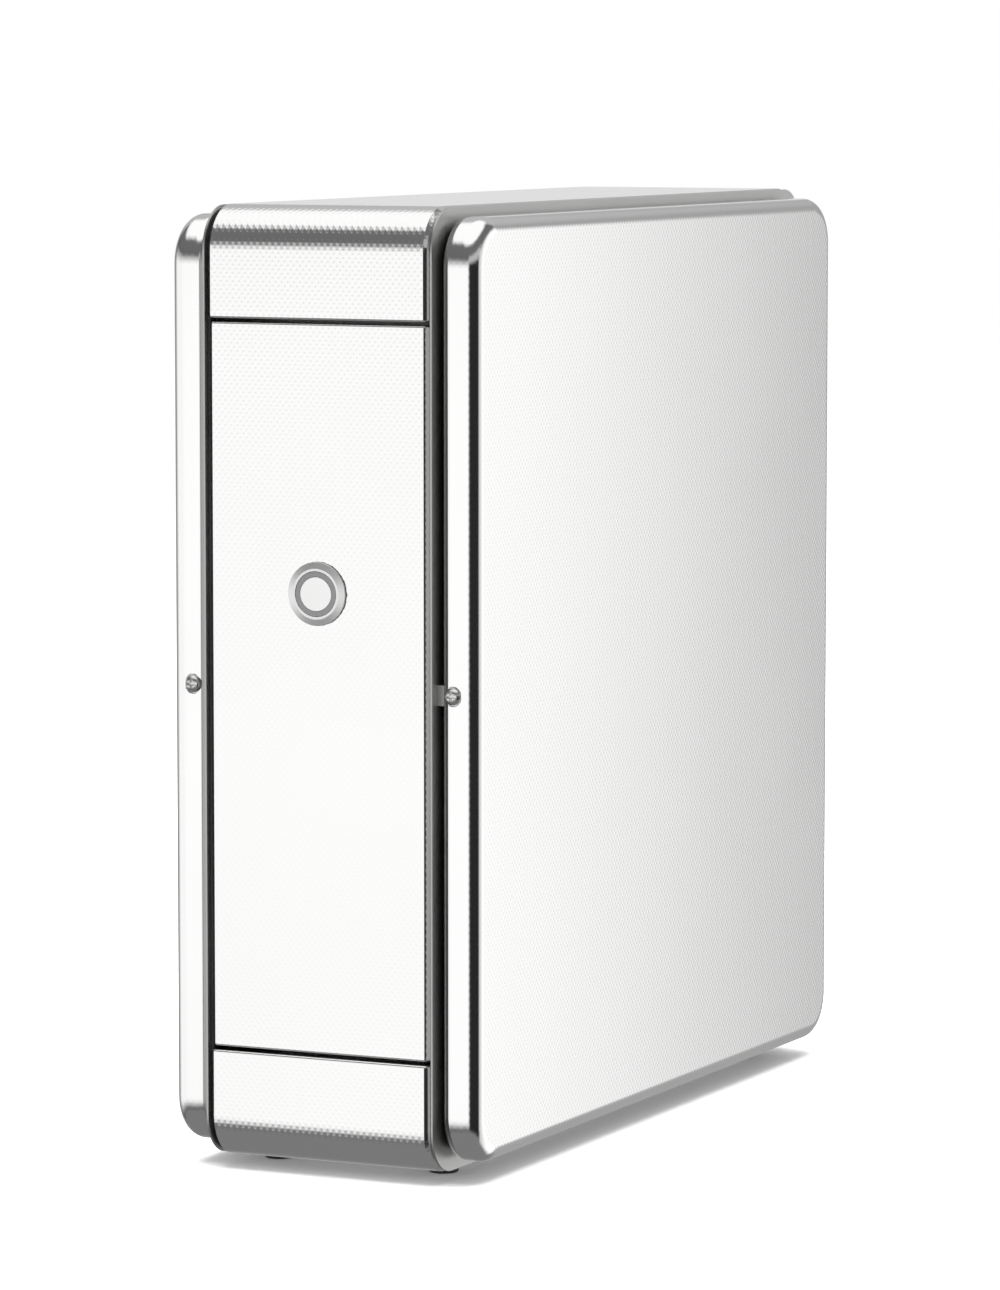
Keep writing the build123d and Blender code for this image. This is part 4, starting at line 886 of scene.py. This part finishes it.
@dataclass
class SideCovers(SubAssembly):
    """The two dished covers."""

    corner: float = 22.0 * MM
    edge: float = 7.5 * MM
    roll: float = 5.5 * MM
    sheet: float = 1.0 * MM
    corner_steps: int = 28
    edge_steps: int = 14
    roll_steps: int = 14
    dimple: float = 4.6 * MM
    dimple_depth: float = 0.9 * MM
    screw_inset: float = 4.0 * MM
    tab_notch: float = 4.8 * MM
    tab_back: float = 1.6 * MM
    notch_end: float = 6.0 * MM

    def right_cover(self) -> bpy.types.Object:
        """Shape the right cover.

        Returns:
            The piece, without a finish.
        """
        low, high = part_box("cover_right")
        piece = Bench.block("cover_right_shell", low, high)
        with Bench.editing(piece):
            Bench.round_edges(
                piece, lambda edge: runs_along(edge, Axis.RIGHT), self.corner, self.corner_steps
            )
            for place, radius, steps in (
                (high.x, self.edge, self.edge_steps), (low.x, self.roll, self.roll_steps)
            ):
                Bench.round_edges(
                    piece, lambda edge: lies_at(edge, Axis.RIGHT, place) and sharp(edge), radius, steps
                )
            Bench.delete_faces(piece, lambda face: abs(face.calc_center_median().x - low.x) < MM / 100)
        Bench.modifier(piece, "SOLIDIFY", thickness=self.sheet, offset=-1.0, use_even_offset=True)
        return piece

    def notch_roll(self, piece: bpy.types.Object) -> None:
        """Open the rolled edge where the side plate's tabs pass."""
        low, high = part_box("cover_right")
        screws_low, screws_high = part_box("cover_screws")
        z = (screws_low.z + screws_high.z) / 2
        for rim, inward in ((low.y, 1), (high.y, -1)):
            ends = sorted((rim + inward * self.tab_back, rim + inward * self.notch_end))
            start = Vector((low.x - MM, ends[0], z - self.tab_notch))
            stop = Vector((low.x + self.roll, ends[1], z + self.tab_notch))
            Bench.carve(piece, Bench.block("notch", start, stop))

    def dimple_rims(self, piece: bpy.types.Object) -> None:
        """Sink the rims round both cover screws."""
        low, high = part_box("cover_right")
        screws_low, screws_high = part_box("cover_screws")
        x = screws_high.x - self.screw_inset
        z = (screws_low.z + screws_high.z) / 2
        for rim, inward in ((low.y, 1), (high.y, -1)):
            bowl_radius = (self.dimple**2 + self.dimple_depth**2) / (2 * self.dimple_depth)
            bpy.ops.object.select_all(action="DESELECT")
            bpy.ops.mesh.primitive_uv_sphere_add(
                segments=96,
                ring_count=96,
                radius=bowl_radius,
                location=(x, rim - inward * (bowl_radius - self.dimple_depth), z),
            )
            Bench.carve(piece, Bench.adopt("dimple"))

    def build(self) -> None:
        """Make both covers."""
        right = self.right_cover()
        self.notch_roll(right)
        self.dimple_rims(right)
        left = Bench.mirrored(right, "cover_left_shell", Axis.RIGHT)
        for piece, node in ((right, "cover_right"), (left, "cover_left")):
            Bench.smooth(piece)
            lay_weave(piece)
            self.finish_piece(piece, "housing", "cover_steel", node)


@dataclass
class Fasteners(SubAssembly):
    """The pan-head screws of the covers, with their crossed recess."""

    head_radius: float = 4.0 * MM
    head_height: float = 3.0 * MM
    head_round: float = 2.8 * MM
    recess_span: float = 5.2 * MM
    recess_width: float = 1.25 * MM
    recess_depth: float = 2.3 * MM
    shank_radius: float = 1.98 * MM
    shank: float = 6.5 * MM
    recess_edge: float = 0.12 * MM

    def screw(self, name: str, seat: Vector, outward: float) -> bpy.types.Object:
        """A pan-head screw along Y.

        Args:
            name: The piece's name.
            seat: Where the head's underside meets the cover.
            outward: -1 for a head that faces the front, 1 for the rear.

        Returns:
            The piece.
        """
        head = Bench.drum(name, seat, Axis.BACK, self.head_radius, outward * self.head_height)
        face = seat.y + outward * self.head_height
        with Bench.editing(head):
            Bench.round_edges(
                head, lambda edge: sharp(edge) and lies_at(edge, Axis.BACK, face), self.head_round, 14
            )
        for across, up in ((self.recess_span, self.recess_width), (self.recess_width, self.recess_span)):
            half = Vector((across / 2, self.recess_depth, up / 2))
            spot = Vector((seat.x, face, seat.z))
            Bench.carve(head, Bench.block("recess", spot - half, spot + half))
        body = Bench.drum(name + "_shank", seat, Axis.BACK, self.shank_radius, -outward * self.shank, 32)
        Bench.modifier(
            head,
            "BEVEL",
            width=self.recess_edge,
            segments=2,
            limit_method="ANGLE",
            angle_limit=math.radians(50),
        )
        return Bench.join(name, [head, body])

    def build(self) -> None:
        """Make the four cover screws as one group."""
        low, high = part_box("cover_screws")
        x = high.x - self.head_radius
        z = (low.z + high.z) / 2
        made = []
        for outward, end in ((-1.0, low.y), (1.0, high.y)):
            for side in (-1.0, 1.0):
                seat = Vector((side * x, end - outward * self.head_height, z))
                made.append(self.screw("cover_screw", seat, outward))
        group = Bench.join("cover_screw_set", made)
        Bench.smooth(group)
        self.finish_piece(group, "housing", "fastener_steel", "cover_screws")


@dataclass
class PushButton(SubAssembly):
    """The round illuminated push button: bezel, light ring and brushed cap."""

    weld: float = 0.004 * MM

    def turned(self, name: str, node: str, profile: Sequence[tuple[float, float]]) -> bpy.types.Object:
        """Spin a profile round the button's axis.

        Args:
            name: The piece's name.
            node: The node whose axis it shares.
            profile: Radius and depth behind the node's front, in millimetres.

        Returns:
            The piece.
        """
        low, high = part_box(node)
        centre = Vector(((low.x + high.x) / 2, low.y, (low.z + high.z) / 2))
        Bench.clear_selection()
        mesh = bpy.data.meshes.new(name)
        points = [(centre.x + r * MM, centre.y + d * MM, centre.z) for r, d in profile]
        mesh.from_pydata(points, [(k, k + 1) for k in range(len(points) - 1)], [])
        piece = bpy.data.objects.new(name, mesh)
        bpy.context.scene.collection.objects.link(piece)
        with Bench.editing(piece):
            bpy.ops.mesh.select_all(action="SELECT")
            bpy.ops.mesh.spin(steps=96, angle=2 * math.pi, center=centre, axis=(0, 1, 0))
            bpy.ops.mesh.select_all(action="SELECT")
            bpy.ops.mesh.remove_doubles(threshold=self.weld)
            bpy.ops.mesh.normals_make_consistent(inside=False)
        Bench.smooth(piece, 30.0)
        return piece

    def build(self) -> None:
        """Make the bezel, the light ring and the cap."""
        bezel = self.turned(
            "bezel_ring",
            "button_bezel",
            (
                (9.95, 9.0), (9.95, 0.2), (9.99, 0.08), (10.08, 0.0), (11.02, 0.0), (11.14, 0.02),
                (11.26, 0.06), (13.78, 0.93), (13.92, 1.0), (13.99, 1.1), (14.0, 1.2), (14.0, 1.5),
                (12.5, 1.5), (12.5, 20.0), (5.0, 20.0), (5.0, 12.0), (9.95, 12.0), (9.95, 9.0),
            ),
        )
        self.finish_piece(bezel, "drawer", "button_steel", "button_bezel")
        ring = self.turned(
            "light_ring",
            "button_lens",
            (
                (7.62, 5.0), (7.62, 0.12), (7.68, 0.03), (7.8, 0.0), (9.7, 0.0), (9.82, 0.03),
                (9.88, 0.12), (9.88, 5.0), (7.62, 5.0),
            ),
        )
        self.finish_piece(ring, "start_button", "button_lens", "button_lens")
        cap = self.turned(
            "button_face",
            "button_cap",
            (
                (0.0, 0.0), (4.0, 0.0), (7.3, 0.0), (7.45, 0.03), (7.56, 0.1), (7.6, 0.2),
                (7.6, 5.0), (4.95, 5.0), (4.95, 15.0), (0.0, 15.0),
            ),
        )
        self.finish_piece(cap, "start_button", "button_cap_steel", "button_cap")


@dataclass
class Feet(SubAssembly):
    """Four turned rubber feet with a moulded lip."""

    radius: float = 7.0 * MM
    rim: float = 0.7 * MM
    land: float = 1.3 * MM
    step: float = 0.1 * MM
    hollow: float = 3.4 * MM

    def build(self) -> None:
        """Round the lower rims of the feet and hollow their undersides."""
        low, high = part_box("feet")
        radius = self.radius
        made = []
        for x in (low.x + radius, high.x - radius):
            for y in (low.y + radius, high.y - radius):
                foot = Bench.drum("foot", Vector((x, y, low.z)), Axis.UP, radius, high.z - low.z, 72)
                with Bench.editing(foot):
                    Bench.pick_faces(foot, lambda face: face.normal.z < -0.9)
                    bpy.ops.transform.resize(value=(0.93, 0.93, 1.0), center_override=(x, y, low.z))
                    Bench.round_edges(
                        foot, lambda edge: sharp(edge) and lies_at(edge, Axis.UP, low.z), self.rim, 5
                    )
                    Bench.pick_faces(foot, lambda face: face.normal.z < -0.995)
                    bpy.ops.mesh.inset(thickness=self.land)
                    bpy.ops.mesh.inset(thickness=self.step)
                    bpy.ops.transform.translate(value=(0, 0, self.hollow))
                made.append(foot)
        group = Bench.join("foot_set", made)
        Bench.smooth(group)
        self.finish_piece(group, "housing", "foot_rubber", "feet")


@dataclass
class Carried(SubAssembly):
    """The construction nodes that show as they are, each with its finish."""

    def build(self, frame: dict) -> None:
        """Dress every node by the record's material slots.
        """
        slots = {part["node"]: part["material_slot"] for part in frame["record"]["subparts"]}
        for name, node in frame["nodes"].items():
            slot = slots[name]
            # Nodes with a linen slot take plate_steel, whose darkened colour is painted shade for the gaps
            # between band and covers, laid over the steel's own tone.
            if isinstance(FINISHES[slot], LinenSteel):
                slot = "plate_steel"
            material = self.palette.of(slot)
            for place in node.material_slots:
                place.material = material
            log.info("%s keeps its construction shape in %s", name, slot)


# ------------------------------------------------------------------ studio
@dataclass(frozen=True)
class Card:
    """A soft-edged patch of light round the set, in degrees of turn from the front and of rise.

    Each span is (start, its softness, end, its softness).
    """

    level: float
    turn: tuple[float, float, float, float]
    rise: tuple[float, float, float, float]
    behind: bool = False

    @staticmethod
    def window(
        sheet: NodeSheet, value: bpy.types.NodeSocket, span: tuple[float, float, float, float]
    ) -> bpy.types.NodeSocket:
        """1 inside a span of angles, fading over its soft ends.

        Args:
            sheet: The node tree.
            value: The angle's socket.
            span: Start, its softness, end, its softness.

        Returns:
            The window's socket.
        """
        ramps = []
        for edge, soft, sign in ((span[0], span[1], 1.0), (span[2], span[3], -1.0)):
            node = sheet.tree.nodes.new("ShaderNodeMapRange")
            node.interpolation_type = "SMOOTHSTEP"
            sheet.feed(node.inputs["Value"], value)
            node.inputs["From Min"].default_value = math.radians(edge - sign * soft)
            node.inputs["From Max"].default_value = math.radians(edge + sign * soft)
            ramps.append(node.outputs["Result"])
        return sheet.math("MULTIPLY", *ramps)


CARDS = (
    Card(1.07, (-99, 22, 31, 8), (-26, 12, 11, 15)),
    Card(0.08, (-36, 10, 31, 8), (-12, 8, 6, 8)),
    Card(0.74, (103, 8, 156.8, 2.6), (-40, 10, 18, 8)),
    Card(0.46, (127, 16, 156.8, 2.6), (-40, 10, 18, 8)),
    Card(0.38, (157, 4, 246, 10), (-34, 8, 52, 5), behind=True),
    Card(0.42, (190, 8, 225, 10), (-6, 5, 15, 6), behind=True),
    Card(0.5, (30, 8, 104, 8), (10, 4, 24, 5)),
    Card(0.13, (-200, 1, 200, 1), (22, 5, 95, 1)),
    Card(1.0, (-200, 1, 200, 1), (50, 6, 95, 1)),
    Card(0.2, (-200, 1, 200, 1), (-95, 1, -35, 6)),
)


@dataclass
class Studio:
    """White studio: camera, floor, soft lights and the cards that the steel mirrors."""

    azimuth: float = 25.302
    drop: float = 5.682
    lens: float = 165.3
    place: Point = (1.17172, -2.49964, 0.49272)

    def camera(self) -> None:
        """Set the camera at the viewing angle."""
        bpy.ops.object.select_all(action="DESELECT")
        data = bpy.data.cameras.new("camera")
        data.sensor_width = 36.0
        data.lens = self.lens
        data.clip_end = 50.0
        camera = bpy.data.objects.new("camera", data)
        bpy.context.scene.collection.objects.link(camera)
        camera.location = self.place
        camera.rotation_euler = (math.radians(90.0 - self.drop), 0.0, math.radians(self.azimuth))
        bpy.context.scene.camera = camera

    def floor(self) -> None:
        """Lay a wide pale floor."""
        Bench.clear_selection()
        bpy.ops.mesh.primitive_plane_add(size=14.0, location=(0.0, 0.0, 0.0))
        floor = bpy.context.object
        floor.name = "floor"
        sheet = NodeSheet("pale_floor")
        sheet.shader.inputs["Base Color"].default_value = (0.93, 0.93, 0.93, 1.0)
        sheet.shader.inputs["Roughness"].default_value = 0.9
        sheet.shader.inputs["Specular IOR Level"].default_value = 0.0
        sheet.shader.inputs["Emission Color"].default_value = (1.0, 1.0, 1.0, 1.0)
        sheet.shader.inputs["Emission Strength"].default_value = 0.1
        floor.data.materials.append(sheet.material)
        floor.visible_glossy = False

    def lamp(self, name: str, place: Point, aim: Point, size: tuple[float, float], power: float) -> None:
        """Hang one soft light.

        Args:
            name: Its name.
            place: Where it hangs.
            aim: What it points at.
            size: Width and height of its face.
            power: Its power in watts.
        """
        data = bpy.data.lights.new(name, "AREA")
        data.shape = "RECTANGLE"
        data.size, data.size_y = size
        data.energy = power
        light = bpy.data.objects.new(name, data)
        bpy.context.scene.collection.objects.link(light)
        light.location = place
        light.rotation_euler = (Vector(aim) - Vector(place)).to_track_quat("-Z", "Y").to_euler()
        light.visible_glossy = False

    def surround(self) -> None:
        """Wrap the set in white cards, with the dark gaps that the steel mirrors."""
        world = bpy.data.worlds.new("studio")
        bpy.context.scene.world = world
        world.use_nodes = True
        tree = world.node_tree
        tree.nodes.clear()
        sheet = NodeSheet.__new__(NodeSheet)
        sheet.tree = tree
        direction = sheet.add("ShaderNodeTexCoord").outputs["Generated"]
        split = sheet.add("ShaderNodeSeparateXYZ", Vector=direction)
        x, y, z = (split.outputs[k] for k in ("X", "Y", "Z"))
        turn = sheet.math("ARCTAN2", x, sheet.math("MULTIPLY", y, -1.0))
        round_back = sheet.math("FLOORED_MODULO", turn, 2 * math.pi)
        rise = sheet.math("ARCSINE", z)
        total: object = 0.02
        for card in CARDS:
            across = card.window(sheet, round_back if card.behind else turn, card.turn)
            up = card.window(sheet, rise, card.rise)
            patch = sheet.math("MULTIPLY", sheet.math("MULTIPLY", across, up), card.level)
            total = sheet.math("ADD", total, patch)
        mirrored = sheet.add("ShaderNodeBackground", Strength=total)
        mirrored.inputs["Color"].default_value = (1.0, 1.0, 1.0, 1.0)
        plain = sheet.add("ShaderNodeBackground", Strength=1.0)
        plain.inputs["Color"].default_value = (1.0, 1.0, 1.0, 1.0)
        path = sheet.add("ShaderNodeLightPath")
        mix = sheet.add("ShaderNodeMixShader")
        sheet.feed(mix.inputs[0], path.outputs["Is Glossy Ray"])
        sheet.feed(mix.inputs[1], plain.outputs[0])
        sheet.feed(mix.inputs[2], mirrored.outputs[0])
        out = tree.nodes.new("ShaderNodeOutputWorld")
        sheet.feed(out.inputs["Surface"], mix.outputs[0])

    def build(self) -> None:
        """Set up camera, floor and light."""
        bpy.context.scene.view_settings.view_transform = "Standard"
        self.camera()
        self.floor()
        self.lamp("overhead", (0.0, -0.2, 2.2), (0.0, 0.0, 0.0), (2.4, 2.4), 110.0)
        self.surround()


def main() -> None:
    """Dress the cabinet and light it."""
    logging.basicConfig(level=logging.INFO, format="%(name)s %(message)s")
    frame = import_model()
    Studio().build()
    palette = Palette()
    Carried(palette).build(frame)
    for part in (Band, SideCovers, Fasteners, PushButton, Feet):
        part(palette).build()
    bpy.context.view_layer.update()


if __name__ == "__main__":
    main()
